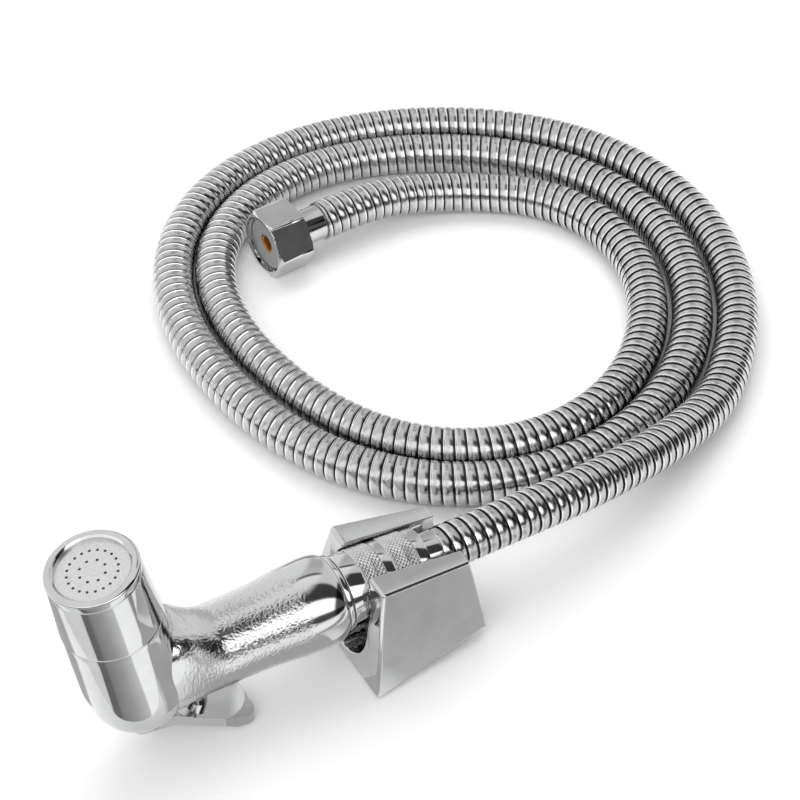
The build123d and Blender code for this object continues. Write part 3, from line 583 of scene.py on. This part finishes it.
def lattice_noise(u, v, cells_u, cells_v, seed):
    """Smooth noise in 0..1: random values on a lattice, eased between its corners.
    It repeats after cells_v in v."""
    values = np.random.default_rng(seed).random((cells_u + 2, cells_v))
    i, j = np.floor(u).astype(int), np.floor(v).astype(int)
    a, b = smoothstep(u - i), smoothstep(v - j)
    j0, j1 = j % cells_v, (j + 1) % cells_v
    return ((values[i, j0] * (1 - a) + values[i + 1, j0] * a) * (1 - b)
            + (values[i, j1] * (1 - a) + values[i + 1, j1] * a) * b)


def sleeve_outline():
    """Corners (r, h) of the sleeve with their roundings, from the seam up and down inside."""
    step = SEAM_HEIGHT + SPIGOT_LENGTH + 1
    cap_foot = FACE_HEIGHT - CAP_HEIGHT
    foot = SEAM_HEIGHT + SEAM_GAP
    ledge = cap_foot - SKIRT_LENGTH - 0.3                        # just below the cap's skirt
    return softened([
        (SPIGOT_R + FIT, foot, 0), (SLEEVE_FOOT_R, foot, 0.6), (SLEEVE_TOP_R, cap_foot, 0.35),
        (SKIRT_R + FIT, cap_foot, 0), (SKIRT_R + FIT, ledge, 0), (SLEEVE_BORE_R, ledge, 0),
        (SLEEVE_BORE_R, step, 0), (SPIGOT_R + FIT, step, 0),
    ])


def cap_outline():
    """Cap with its skirt inside the sleeve, its rim and the lip that holds the plate."""
    foot = FACE_HEIGHT - CAP_HEIGHT
    plate_top = FACE_HEIGHT - CAP_LIP
    inner = SKIRT_R - SKIRT_WALL
    return softened([
        (inner, foot - SKIRT_LENGTH, 0), (SKIRT_R, foot - SKIRT_LENGTH, 0), (SKIRT_R, foot, 0),
        (RIM_R, foot, 0.55), (RIM_R, FACE_HEIGHT, 1.25),
        (CAP_OPENING_R + CAP_BEVEL, FACE_HEIGHT, 0.28),
        (CAP_OPENING_R, FACE_HEIGHT - CAP_BEVEL, 0.15), (CAP_OPENING_R, plate_top, 0),
        (inner, plate_top, 0),
    ], 7)


# ---------------------------------------------------------------- nuts and collar
NUT_START, NUT_END, NUT_BIG_R, NUT_SMALL_R = 1.6, 28.4, 11.2, 9.6
NUT_BORE_R, NUT_SHOULDER, NUT_NECK_R = 9.32, 16.0, 7.0
KNURL_BANDS = ((6.9, 13.9), (16.9, 24.9))
KNURL_SEAT, KNURL_PROUD, KNURL_WALL, KNURL_EDGE = 0.3, 0.04, 1.0, 0.3
RIDGE_SLOPE, RIDGE_START = 1.9, 0.9
FERRULE_R, FERRULE_WALL, FERRULE_LENGTH, FERRULE_GAP = 7.25, 0.9, 5.0, 0.2
FAR_FERRULE_R, FAR_NECK_R, FAR_FERRULE_FOOT, FAR_FERRULE_END = 6.25, 5.3, 7.4, 23.5


def nut_skin(x):
    """Radius of the nut's cone at x from the handle's end."""
    return NUT_BIG_R - (NUT_BIG_R - NUT_SMALL_R) * (x - NUT_START) / (NUT_END - NUT_START)


def nut_outline():
    """The cone nut, with a shallow seat under each knurled band."""
    corners = [(NUT_BORE_R, NUT_START, 0), (nut_skin(NUT_START) - 0.2, NUT_START, 0.3)]
    for low, high in KNURL_BANDS:
        corners += [(nut_skin(low - 0.1) - 0.05, low - 0.15, 0.05),
                    (nut_skin(low) - KNURL_SEAT, low, 0), (nut_skin(high) - KNURL_SEAT, high, 0),
                    (nut_skin(high) - 0.05, high + 0.15, 0.05)]
    corners += [(NUT_SMALL_R - 0.05, NUT_END, 0.45), (NUT_NECK_R + 0.3, NUT_END, 0),
                (NUT_NECK_R + 0.3, NUT_SHOULDER, 0), (NUT_BORE_R, NUT_SHOULDER, 0)]
    return softened(corners)


def knurl_grid(sizes, low, high):
    """Diamond knurl: radius falls from the ridges of two crossing helices, whose distance is a
    triangle wave of u + v and of u - v."""
    width = TAU * nut_skin((low + high) / 2) / sizes.diamonds
    columns = sizes.diamonds * sizes.samples
    rows = int((high - low) / width * sizes.samples)
    x = np.linspace(low, high, rows)[:, None]
    angle = (np.arange(columns) * TAU / columns)[None, :]
    u = (x - low) / width
    v = angle / TAU * sizes.diamonds
    first = np.abs((u + v) % 1 - 0.5) * 2
    second = np.abs((u - v) % 1 - 0.5) * 2
    ridge = np.maximum(*[smoothstep(wave * RIDGE_SLOPE - RIDGE_START) for wave in (first, second)])
    edge = smoothstep((x - low) / KNURL_EDGE) * smoothstep((high - x) / KNURL_EDGE)
    radius = nut_skin(x) + KNURL_PROUD - sizes.depth * (1 - ridge * edge)
    inner = nut_skin(x[[-1, 0]]) - KNURL_WALL + 0 * angle
    local = polar(np.concatenate([radius, inner]), angle, np.concatenate([x, x[[-1, 0]]]))
    return INLET.put(local), grid_faces(rows + 2, columns, close_rows=True)


# ---------------------------------------------------------------- hose
HOSE_START = NUT_END + FERRULE_LENGTH + FERRULE_GAP
WASHER_RADII, WASHER_HEIGHTS = (3.6, 9.2), (1.5, 5.4)
MOUTH_RADII, MOUTH_HEIGHTS = (2.6, 3.56), (1.9, 5.5)
RUN_POINTS = np.array([
    (0.0497, 0.0, 0.025), (0.0673, 0.0008, 0.0238), (0.0902, 0.0032, 0.0208),
    (0.1124, 0.0087, 0.0163), (0.129, 0.0141, 0.0125), (0.1469, 0.0217, 0.0085),
])
TAIL_POINTS = np.array([(0.1212, 0.1668, 0.0088)])
RUN_LEAD, TAIL_LEAD, FERRULE_LEAD = 0.0103, 0.0146, 0.0185
COIL_CENTRE, COIL_LIFT = (0.1119, 0.1074, 0), 7.0
COIL_START, COIL_END, COIL_STEP_ANGLE, COIL_PROBE = -53.0, 770.0, 9.0, 0.05
COIL_R, COIL_LOSS, COIL_OVAL, OVAL_TURN, COIL_DRIFT, DRIFT_TURN = 92.8, 16.7, 5.1, 44, 2.0, 106
SWINGS, SWING_AT, SWING_WIDTH = (27.5, 31.4), 123.9, 49.3


def coil_points(angle):
    """Hose centre in metres at angles in degrees: a spiral that loses 16.7 mm a turn, with an
    oval, a drift and a swing round the hex nut in its first two turns."""
    turns = angle / 360
    radius = COIL_R - COIL_LOSS * turns - COIL_OVAL * np.cos(np.radians(2 * (angle + OVAL_TURN)))
    radius -= COIL_DRIFT * turns * np.cos(np.radians(angle - DRIFT_TURN))
    for turn, swing in enumerate(SWINGS):
        radius += swing * np.exp(-((angle - SWING_AT - 360 * turn) / SWING_WIDTH) ** 2)
    return polar(radius * MM, np.radians(angle), COIL_LIFT * MM) + COIL_CENTRE


def coil_direction(angle):
    """Direction of the coil at an angle, by its points just before and after."""
    ends = [coil_points(np.array(angle + probe)) for probe in (-COIL_PROBE, COIL_PROBE)]
    return unit(ends[1] - ends[0])


def hose_route():
    """Control points of the whole hose, ferrule to ferrule, in the row's metres."""
    coil = coil_points(np.linspace(COIL_START, COIL_END,
                                   int((COIL_END - COIL_START) / COIL_STEP_ANGLE)))
    shift = np.array([END_X * MM, 0, 0])
    ferrule = FAR.put((0, 0, FAR_FERRULE_END)) * MM
    return np.concatenate([
        [INLET.put((0, 0, HOSE_START)) * MM], RUN_POINTS + shift,
        [coil[0] - coil_direction(COIL_START) * RUN_LEAD + shift], coil + shift,
        [coil[-1] + coil_direction(COIL_END) * TAIL_LEAD + shift], TAIL_POINTS + shift,
        [ferrule + FAR.z * FERRULE_LEAD], [ferrule],
    ])


def route_line(points):
    """Points along the NURBS spline that has the route's points as its control points."""
    curve = bpy.data.curves.new("hose_route", "CURVE")
    curve.dimensions = "3D"
    spline = curve.splines.new("NURBS")
    spline.points.add(len(points) - 1)
    spline.points.foreach_set("co", np.concatenate([points, np.ones((len(points), 1))], 1).ravel())
    spline.order_u = 3
    spline.use_endpoint_u = True
    spline.resolution_u = 14
    carrier = new_object("hose_route", curve)
    mesh = bpy.data.meshes.new_from_object(carrier)
    line = np.zeros(len(mesh.vertices) * 3)
    mesh.vertices.foreach_get("co", line)
    bpy.data.objects.remove(carrier)
    bpy.data.meshes.remove(mesh)
    bpy.data.curves.remove(curve)
    return line.reshape(-1, 3)


# one winding after its groove: share of the pitch, depth in mm, and the groove attribute, which is
# above nought where the groove gets painted shade and below it where the lip gets a painted
# highlight
WINDING = ((0.13, 0.2, 0.7), (0.155, 0.02, -1.0), (0.21, 0.0, -1.0), (0.255, 0.19, -0.7),
           (0.37, 0.07, 0.0), (0.52, 0.01, 0.0), (0.68, 0.05, 0.0), (0.84, 0.17, 0.1),
           (0.96, 0.34, 0.6))
GROOVE_SHARE = 0.11
CENTRE_STEPS, SMOOTHED, BORE_STEPS = 6000, 15, 400


def hose_grid(sizes, line):
    """Strip-wound tube: a winding's cross profile repeats each pitch and is sheared by one
    pitch a turn, so the grooves are one long helix. The bore closes the inside."""
    line = line / MM
    lengths = np.concatenate([[0], np.cumsum(np.linalg.norm(np.diff(line, axis=0), axis=1))])
    total = lengths[-1]
    fine = np.linspace(0, total, CENTRE_STEPS)
    centre = np.stack([np.interp(fine, lengths, column) for column in line.T], -1)
    tangent = units(np.gradient(centre, axis=0))
    kernel = np.ones(2 * SMOOTHED + 1) / (2 * SMOOTHED + 1)
    padded = np.pad(tangent, ((SMOOTHED, SMOOTHED), (0, 0)), "edge")
    tangent = np.stack([np.convolve(column, kernel, "valid") for column in padded.T], -1)
    side = units(np.cross(tangent, (0, 0, 1.0)))
    up = units(np.cross(side, tangent))

    def at(table, s):
        return np.stack([np.interp(s, fine, column) for column in table.T], -1)

    windings = int(np.ceil(total / sizes.pitch))
    pitch = total / windings
    # the groove's floor and walls get the full painted shade
    groove_rows = [(share, sizes.groove, 1.0) for share in (0.0, GROOVE_SHARE)]
    along, depth, painted_shade_and_highlight = np.array([*groove_rows, *WINDING]).T
    count = len(along)
    rows = (windings + 2) * count
    index = np.arange(rows)
    place = (index // count + along[index % count]) * pitch
    angle = np.arange(sizes.steps) * TAU / sizes.steps
    s = place[:, None] + pitch * angle[None] / TAU - pitch
    outside = (s <= 0) | (s >= total)
    radius = np.where(outside, sizes.radius, (sizes.radius - depth)[index % count][:, None])
    s = np.clip(s, 0, total)

    def tube(s, radius):
        """Points round the hose at lengths along it; each row and column has its own."""
        angles = angle[None] + 0 * s
        return (at(centre, s) + radius[..., None] * (np.cos(angles)[..., None] * at(side, s)
                                                     - np.sin(angles)[..., None] * at(up, s)))

    outer = tube(s, radius)
    # where the hose's colour gets painted shade (above nought) and a painted highlight (below it)
    groove = np.where(outside, 0.0, painted_shade_and_highlight[index % count][:, None])
    quads = [grid_faces(rows, sizes.steps, close_columns=False)]
    i = np.arange(rows - 1 - count)                              # the seam joins shifted rows
    last = sizes.steps - 1
    quads.append(np.stack([i * sizes.steps + last, (i + count) * sizes.steps,
                           (i + 1 + count) * sizes.steps, (i + 1) * sizes.steps + last], -1))
    inner_s = np.linspace(total, 0, BORE_STEPS)[:, None] + 0 * angle[None]
    inner = tube(inner_s, np.full_like(inner_s, sizes.bore))
    ends = tube(np.array([[total], [0.0]]) + 0 * angle[None],
                np.full((2, sizes.steps), sizes.radius))
    bore = np.concatenate([ends[:1], inner, ends[1:]])
    points, faces = joined((outer, np.concatenate(quads)),
                           (bore, grid_faces(len(bore), sizes.steps)))
    groove = np.concatenate([groove.ravel(), np.zeros(bore.shape[0] * sizes.steps)])
    return points, faces, groove, line * MM


# ---------------------------------------------------------------- carried-over solids
COPY_WELD, FLAT_ANGLE, ROUNDED_ANGLE, AREA_WEIGHT = 2e-6, 0.1, 45, 90


def smooth_copy(node, finish_name, body, slot, sharp, rounding=0.0):
    """Welded copy of a CAD solid with normals weighted by area, so flats stay flat, and
    with its sharp edges rounded where a radius in mm is given."""
    mesh = frame["nodes"][node].data.copy()
    flatten = [lambda work: bmesh.ops.dissolve_limit(
        work, angle_limit=np.radians(FLAT_ANGLE), verts=work.verts, edges=work.edges)]
    welded(mesh, COPY_WELD, *flatten if rounding else ())
    mesh.name = node + "_finished"
    piece = new_object(mesh.name, mesh)
    mesh.shade_smooth()
    mesh.set_sharp_from_angle(angle=np.radians(sharp))
    if rounding:
        bevel = piece.modifiers.new("rounded", "BEVEL")
        bevel.width = rounding * MM
        bevel.segments = 3
        bevel.limit_method = "ANGLE"
        bevel.angle_limit = np.radians(ROUNDED_ANGLE)
    weights = piece.modifiers.new("weighted", "WEIGHTED_NORMAL")
    weights.keep_sharp = True
    weights.weight = AREA_WEIGHT
    return dress(piece, finish_name, body, slot, node)


def paint_node(node, finish_name):
    """Finish of a CAD solid that shows as it is."""
    materials = frame["nodes"][node].data.materials
    materials.clear()
    materials.append(finish(finish_name))


# ---------------------------------------------------------------- stage values
FLOOR_SIZE, FLOOR_GREY = 6, 0.97
CAMERA_PLACE = (-0.1696, -0.3715, 0.4971)
CAMERA_LOOK = (0.3594, 0.6300, -0.6884)
CAMERA_LENS, CAMERA_SENSOR, CAMERA_NEAR = 99, 36, 0.01
LAMPS = (("back_panel", (0.35, 0.6, 1.0), 1.0, 5.5), ("front_panel", (-0.7, -0.5, 1.0), 1.0, 3.5))
# towards the camera and to its right, level
TENT_FRONT = (-0.495, -0.869, 0.0)
TENT_RIGHT = (0.869, -0.495, 0.0)
# bands of the tent: degrees from overhead towards the camera's side, and their brightness
TENT_BELOW = ((94, 0.7), (150, 0.8), (180, 0.9))
TENT_LEFT_BANDS = (
    (-180, 0.9), (-96, 0.95), (-60, 0.95), (-10, 0.95), (28, 0.8), (32, 1.3), (62, 1.3),
    (70, 0.15), (88, 0.15), *TENT_BELOW)
TENT_MIDDLE_BANDS = (
    (-180, 0.9), (-96, 0.6), (-60, 0.55), (-37, 0.7), (-35, 0.12), (-31, 0.12), (-29, 1.1),
    (-8, 0.95), (28, 0.75), (32, 1.35), (60, 1.35), (68, 0.12), (88, 0.12), *TENT_BELOW)
TENT_RIGHT_BANDS = (
    (-180, 0.9), (-100, 0.95), (-62, 0.85), (-12, 0.8), (-7, 0.06), (26, 0.05), (31, 1.9),
    (64, 1.9), (70, 0.08), (88, 0.08), *TENT_BELOW)
# where the left bands pass into the middle ones and those into the right ones, and where the
# dark curtain begins: sines of the angle to the right
TENT_LEFT_EDGE, TENT_RIGHT_EDGE, CURTAIN_EDGE = (-0.17, -0.09), (0.14, 0.28), (0.76, 0.81)
CURTAIN_SHADE, TENT_STRENGTH = 0.06, 2
# fans of glowing card on the floor that paint reflections into the metal: degrees round the head's
# foot and the brightness there
CARD_BANDS = (
    (-76, 0.9), (-33, 0.9), (-30, 0.18), (-19, 0.2), (-16, 0.3), (8, 0.45), (31, 0.75), (34, 1.3),
    (66, 1.25), (70, 0.40), (86, 0.38),
)
CARD_NEAR, CARD_FAR, CARD_LIFT, CARD_DEPTH, CARD_STEPS = 46.0, 420.0, 0.3, 5, 60
# glowing cards at each side of the head, painted reflections in the metal
SIDE_CARDS = {
    "left": ((-178, 0.5), (-92, 0.5), (-84, 0.95)),
    "right": ((58, 0.9), (66, 0.5), (108, 0.5)),
}
SIDE_NEAR, SIDE_FAR, SIDE_LIFT = 24.0, 90.0, 0.2
# the glowing card before the bracket's cheek, which paints a darker reflection into the cheek: its
# run in y, and mm in x with the brightness there
CHEEK_CARD_Y, CHEEK_FADE = (-22.0, -70.0), 0.85
CHEEK_BANDS = ((20, 1.0), (27, 0.95), (36, 0.62), (60, 0.56), (82, 0.60), (100, 0.75))


# ---------------------------------------------------------------- operators
class SPRAYER_OT_stage(bpy.types.Operator):
    """Pale floor, soft light and the camera"""
    bl_idname = "sprayer.stage"
    bl_label = "Stage"

    def execute(self, context):
        self.floor()
        self.cards()
        self.world(context.scene)
        self.lamps()
        self.camera(context.scene)
        context.scene.view_settings.view_transform = "Standard"
        return {"FINISHED"}

    def floor(self):
        bpy.ops.mesh.primitive_plane_add(size=FLOOR_SIZE, location=(0, 0, 0))
        floor = bpy.context.object
        floor.name = "floor"
        material, shader = new_material("floor_paper", [FLOOR_GREY] * 3, 0.0, 0.9)
        shader.inputs["Specular IOR Level"].default_value = 0.0
        floor.data.materials.append(material)

    def fan(self, name, bands, near, far, height):
        """Flat wedges round the head's foot: from the near distance to the far one at each of
        the bands' degrees, which count from the camera's side to the right."""
        degrees, greys = np.array(bands).T
        fine = np.sort(np.concatenate([degrees, np.linspace(degrees[0], degrees[-1], CARD_STEPS)]))
        turn = np.radians(fine)[:, None]
        start = near(np.radians(fine))
        away = np.stack([start, np.maximum(start + CARD_DEPTH, far)])[..., None]
        flat = HEAD.origin[:2] + away * (np.cos(turn) * np.array(TENT_FRONT[:2])
                                         + np.sin(turn) * np.array(TENT_RIGHT[:2]))
        points = np.concatenate([flat, np.full((2, len(fine), 1), height)], -1)
        grey = np.interp(fine, degrees, greys) + np.zeros((2, 1))
        return mesh_piece(name, points, grid_faces(2, len(fine), close_columns=False),
                          share=("glow", grey))

    def cards(self):
        """Glowing cards on the floor, painted reflections that only polished metal shows, hidden
        from the camera, from diffuse light and from shadows: a fan from a straight front edge
        outwards, a small one at each side of the head, and one before the bracket."""
        edge = CARD_NEAR - HEAD.origin[:2] @ np.array(TENT_FRONT[:2])
        cards = [self.fan("front_cards", CARD_BANDS, lambda turn: edge / np.cos(turn),
                          CARD_FAR, CARD_LIFT)]
        for side, bands in SIDE_CARDS.items():
            cards.append(self.fan(side + "_card", bands, lambda turn: SIDE_NEAR + 0 * turn,
                                  SIDE_FAR, SIDE_LIFT))
        across, grey = np.array(CHEEK_BANDS).T
        points = np.stack([np.stack([across, 0 * across + y, 0 * across + CARD_LIFT], -1)
                           for y in CHEEK_CARD_Y])
        cards.append(mesh_piece("cheek_card", points,
                                grid_faces(2, len(across), close_columns=False),
                                share=("glow", np.stack([grey, grey * CHEEK_FADE]))))
        material = bpy.data.materials.new("card_grey")
        material.use_nodes = True
        tree = material.node_tree
        tree.nodes.remove(tree.nodes["Principled BSDF"])
        # the cards glow with their own grey instead of being lit: a painted reflection
        shader = tree.nodes.new("ShaderNodeEmission")
        feed(tree, shader.inputs["Color"], attribute(tree, "glow"))
        feed(tree, tree.nodes["Material Output"].inputs["Surface"], shader.outputs["Emission"])
        for card in cards:
            card.data.materials.append(material)
            card.visible_camera = card.visible_diffuse = card.visible_shadow = False

    def world(self, scene):
        """A light tent in bands round the stage's left-right axis: a pale wall behind, a dark
        gap overhead to the right, a bright panel on the camera's side, a dark gap above the
        horizon and a dark curtain far to the right."""
        world = bpy.data.worlds.new("light_tent")
        world.use_nodes = True
        tree = world.node_tree
        place = tree.nodes.new("ShaderNodeTexCoord").outputs["Generated"]

        def along(direction):
            node = tree.nodes.new("ShaderNodeVectorMath")
            node.operation = "DOT_PRODUCT"
            feed(tree, node.inputs[0], place)
            feed(tree, node.inputs[1], direction)
            return node.outputs["Value"]

        height = tree.nodes.new("ShaderNodeSeparateXYZ")
        feed(tree, height.inputs["Vector"], place)
        angle = math_node(tree, "ARCTAN2", along(TENT_FRONT), height.outputs["Z"])
        share = map_range(tree, angle, (-np.pi, np.pi))
        left, middle, right = [
            ramp(tree, share, [((degrees + 180) / 360, [grey / TENT_STRENGTH] * 3)
                               for degrees, grey in table])
            for table in (TENT_LEFT_BANDS, TENT_MIDDLE_BANDS, TENT_RIGHT_BANDS)]
        side = along(TENT_RIGHT)
        tent = blend(tree, "MIX", map_range(tree, side, TENT_LEFT_EDGE), left, middle)
        tent = blend(tree, "MIX", map_range(tree, side, TENT_RIGHT_EDGE), tent, right)
        curtain = map_range(tree, side, CURTAIN_EDGE, 1.0, CURTAIN_SHADE)
        background = tree.nodes["Background"]
        feed(tree, background.inputs["Color"], blend(tree, "MULTIPLY", 1.0, tent, curtain))
        feed(tree, background.inputs["Strength"], TENT_STRENGTH)
        scene.world = world

    def lamps(self):
        for name, place, size, power in LAMPS:
            lamp = bpy.data.lights.new(name, "AREA")
            lamp.size = size
            lamp.energy = power
            holder = new_object(name, lamp)
            holder.location = place
            holder.rotation_euler = (-Vector(place)).to_track_quat("-Z", "Y").to_euler()
            holder.visible_glossy = False

    def camera(self, scene):
        lens = bpy.data.cameras.new("camera")
        lens.sensor_width = CAMERA_SENSOR
        lens.lens = CAMERA_LENS
        lens.clip_start = CAMERA_NEAR
        holder = new_object("camera", lens)
        holder.location = CAMERA_PLACE
        holder.rotation_euler = Vector(CAMERA_LOOK).to_track_quat("-Z", "Y").to_euler()
        scene.camera = holder


class SPRAYER_OT_hose(bpy.types.Operator):
    """Strip-wound metal hose with its two ferrules"""
    bl_idname = "sprayer.hose"
    bl_label = "Hose"

    def execute(self, context):
        line = route_line(hose_route())
        points, faces, groove, path = hose_grid(context.scene.sprayer_hose, line)
        # the groove attribute carries the painted shade of the grooves and the painted highlight of
        # the lips
        hose = mesh_piece("metal_hose", points, faces, 40, share=("groove", groove))
        dress(hose, "hose", "handset", "hose_steel", "hose_run", "hose_coil", "hose_tail")
        far = mesh_piece("far_crimp", *ring(FAR, (FAR_NECK_R, FAR_FERRULE_R),
                                            (FAR_FERRULE_FOOT, FAR_FERRULE_END), (0, 0, 0.5, 0)))
        dress(far, "chrome", "handset", "plated_brass", "far_ferrule")
        near = mesh_piece("near_crimp", *ring(INLET, (FERRULE_R - FERRULE_WALL, FERRULE_R),
                                              (NUT_END + FERRULE_GAP, HOSE_START), (0, 0, 0.4, 0)))
        dress(near, "chrome", "handset", "plated_brass", "near_ferrule")
        washer = mesh_piece("supply_washer", *ring(FAR, WASHER_RADII, WASHER_HEIGHTS,
                                                   (0.15, 0.15, 0, 0), WASHER_STEPS))
        dress(washer, "washer", "handset", "grey_rubber", "far_washer")
        mouth = mesh_piece("supply_mouth", *ring(FAR, MOUTH_RADII, MOUTH_HEIGHTS,
                                                 (0.2, 0, 0, 0), MOUTH_STEPS))
        dress(mouth, "brass", "handset", "brass")
        nut = smooth_copy("hex_nut", "chrome", "supply_nut", "plated_brass", 25)
        return {"FINISHED"}


class SPRAYER_OT_head(bpy.types.Operator):
    """Turning sleeve and nozzle cap"""
    bl_idname = "sprayer.head"
    bl_label = "Spray head"

    def execute(self, context):
        sleeve = mesh_piece("sleeve_shell", *turned(HEAD, sleeve_outline(), HEAD_STEPS))
        dress(sleeve, "chrome", "spray_head", "plated_brass", "head_sleeve")
        cap = mesh_piece("cap_rim", *turned(HEAD, cap_outline(), HEAD_STEPS))
        dress(cap, "chrome", "spray_head", "plated_brass", "nozzle_cap")
        return {"FINISHED"}


class SPRAYER_OT_handle(bpy.types.Operator):
    """Barrel, grip, neck blend and cast grain"""
    bl_idname = "sprayer.handle"
    bl_label = "Handle"

    def execute(self, context):
        barrel = mesh_piece("barrel_shell", *joined(barrel_grid(), lug_grid()))
        dress(barrel, "chrome", "handset", "plated_brass", "handle_body")
        points, faces = grip_grid(context.scene.sprayer_grain)
        grip = mesh_piece("grip_skin", points, faces, 50,
                          share=("grain", grain_share(points[..., 0] - END_X)))
        dress(grip, "chrome_grain", "handset", "plated_brass")
        return {"FINISHED"}


class SPRAYER_OT_cone_nut(bpy.types.Operator):
    """Cone nut with two knurled bands, and the collar before it"""
    bl_idname = "sprayer.cone_nut"
    bl_label = "Cone nut"

    def execute(self, context):
        nut = mesh_piece("nut_body", *turned(INLET, nut_outline()))
        dress(nut, "chrome", "handset_nut", "plated_brass", "conical_nut")
        sizes = context.scene.sprayer_knurl
        knurl = mesh_piece("nut_knurl",
                           *joined(*[knurl_grid(sizes, *band) for band in KNURL_BANDS]), 50)
        dress(knurl, "chrome", "handset_nut", "plated_brass")
        collar = mesh_piece("collar_ring", *ring(INLET, (COLLAR_BORE_R, COLLAR_R),
                                                 (COLLAR_FOOT, COLLAR_TOP), (0, 0.4, 0.4, 0)))
        dress(collar, "chrome", "handset", "plated_brass", "end_collar")
        return {"FINISHED"}


class SPRAYER_OT_bracket(bpy.types.Operator):
    """Plated wall bracket"""
    bl_idname = "sprayer.bracket"
    bl_label = "Wall bracket"

    def execute(self, context):
        smooth_copy("bracket", "chrome_plastic", "wall_bracket", "plated_plastic", 30)
        return {"FINISHED"}


class SPRAYER_OT_trigger(bpy.types.Operator):
    """Trigger lever"""
    bl_idname = "sprayer.trigger"
    bl_label = "Trigger"

    def execute(self, context):
        smooth_copy("trigger_lever", "chrome", "trigger", "plated_brass", 12, 0.5)
        return {"FINISHED"}


class SPRAYER_OT_inner_parts(bpy.types.Operator):
    """Finishes of the solids that show as they are or lie inside"""
    bl_idname = "sprayer.inner_parts"
    bl_label = "Inner parts"

    def execute(self, context):
        groups = {
            "satin": ("spray_plate", "lever_pin", "valve_stem", "washer_retainer", "valve_spring",
                      "stem_gland", "inlet_nipple"),
            "brass": ("near_insert", "far_insert", "valve_seat"),
            "rubber": ("face_gasket", "head_o_ring", "stem_o_ring", "valve_washer"),
            "washer": ("inlet_washer",),
            "nylon": ("flow_diffuser",),
        }
        for finish_name, nodes in groups.items():
            for node in nodes:
                paint_node(node, finish_name)
        return {"FINISHED"}


class SPRAYER_PT_panel(bpy.types.Panel):
    """Lists the sprayer's steps"""
    bl_label = "Bath Sprayer"
    bl_idname = "SPRAYER_PT_panel"
    bl_space_type = "VIEW_3D"
    bl_region_type = "UI"
    bl_category = "Sprayer"

    def draw(self, context):
        for operator in OPERATORS:
            self.layout.operator(operator.bl_idname)


SETTINGS = (("sprayer_hose", SprayerHoseSizes), ("sprayer_knurl", SprayerKnurlSizes),
            ("sprayer_grain", SprayerGrainSizes), ("sprayer_colours", SprayerColours))
OPERATORS = (SPRAYER_OT_stage, SPRAYER_OT_hose, SPRAYER_OT_head, SPRAYER_OT_handle,
             SPRAYER_OT_cone_nut, SPRAYER_OT_bracket, SPRAYER_OT_trigger, SPRAYER_OT_inner_parts)


def register():
    for name, group in SETTINGS:
        bpy.utils.register_class(group)
        setattr(bpy.types.Scene, name, PointerProperty(type=group))
    for operator in OPERATORS:
        bpy.utils.register_class(operator)
    bpy.utils.register_class(SPRAYER_PT_panel)


def unregister():
    bpy.utils.unregister_class(SPRAYER_PT_panel)
    for operator in reversed(OPERATORS):
        bpy.utils.unregister_class(operator)
    for name, group in reversed(SETTINGS):
        delattr(bpy.types.Scene, name)
        bpy.utils.unregister_class(group)


def main():
    register()
    for operator in OPERATORS:
        group, name = operator.bl_idname.split(".")
        getattr(getattr(bpy.ops, group), name)()


if __name__ == "__main__":
    main()
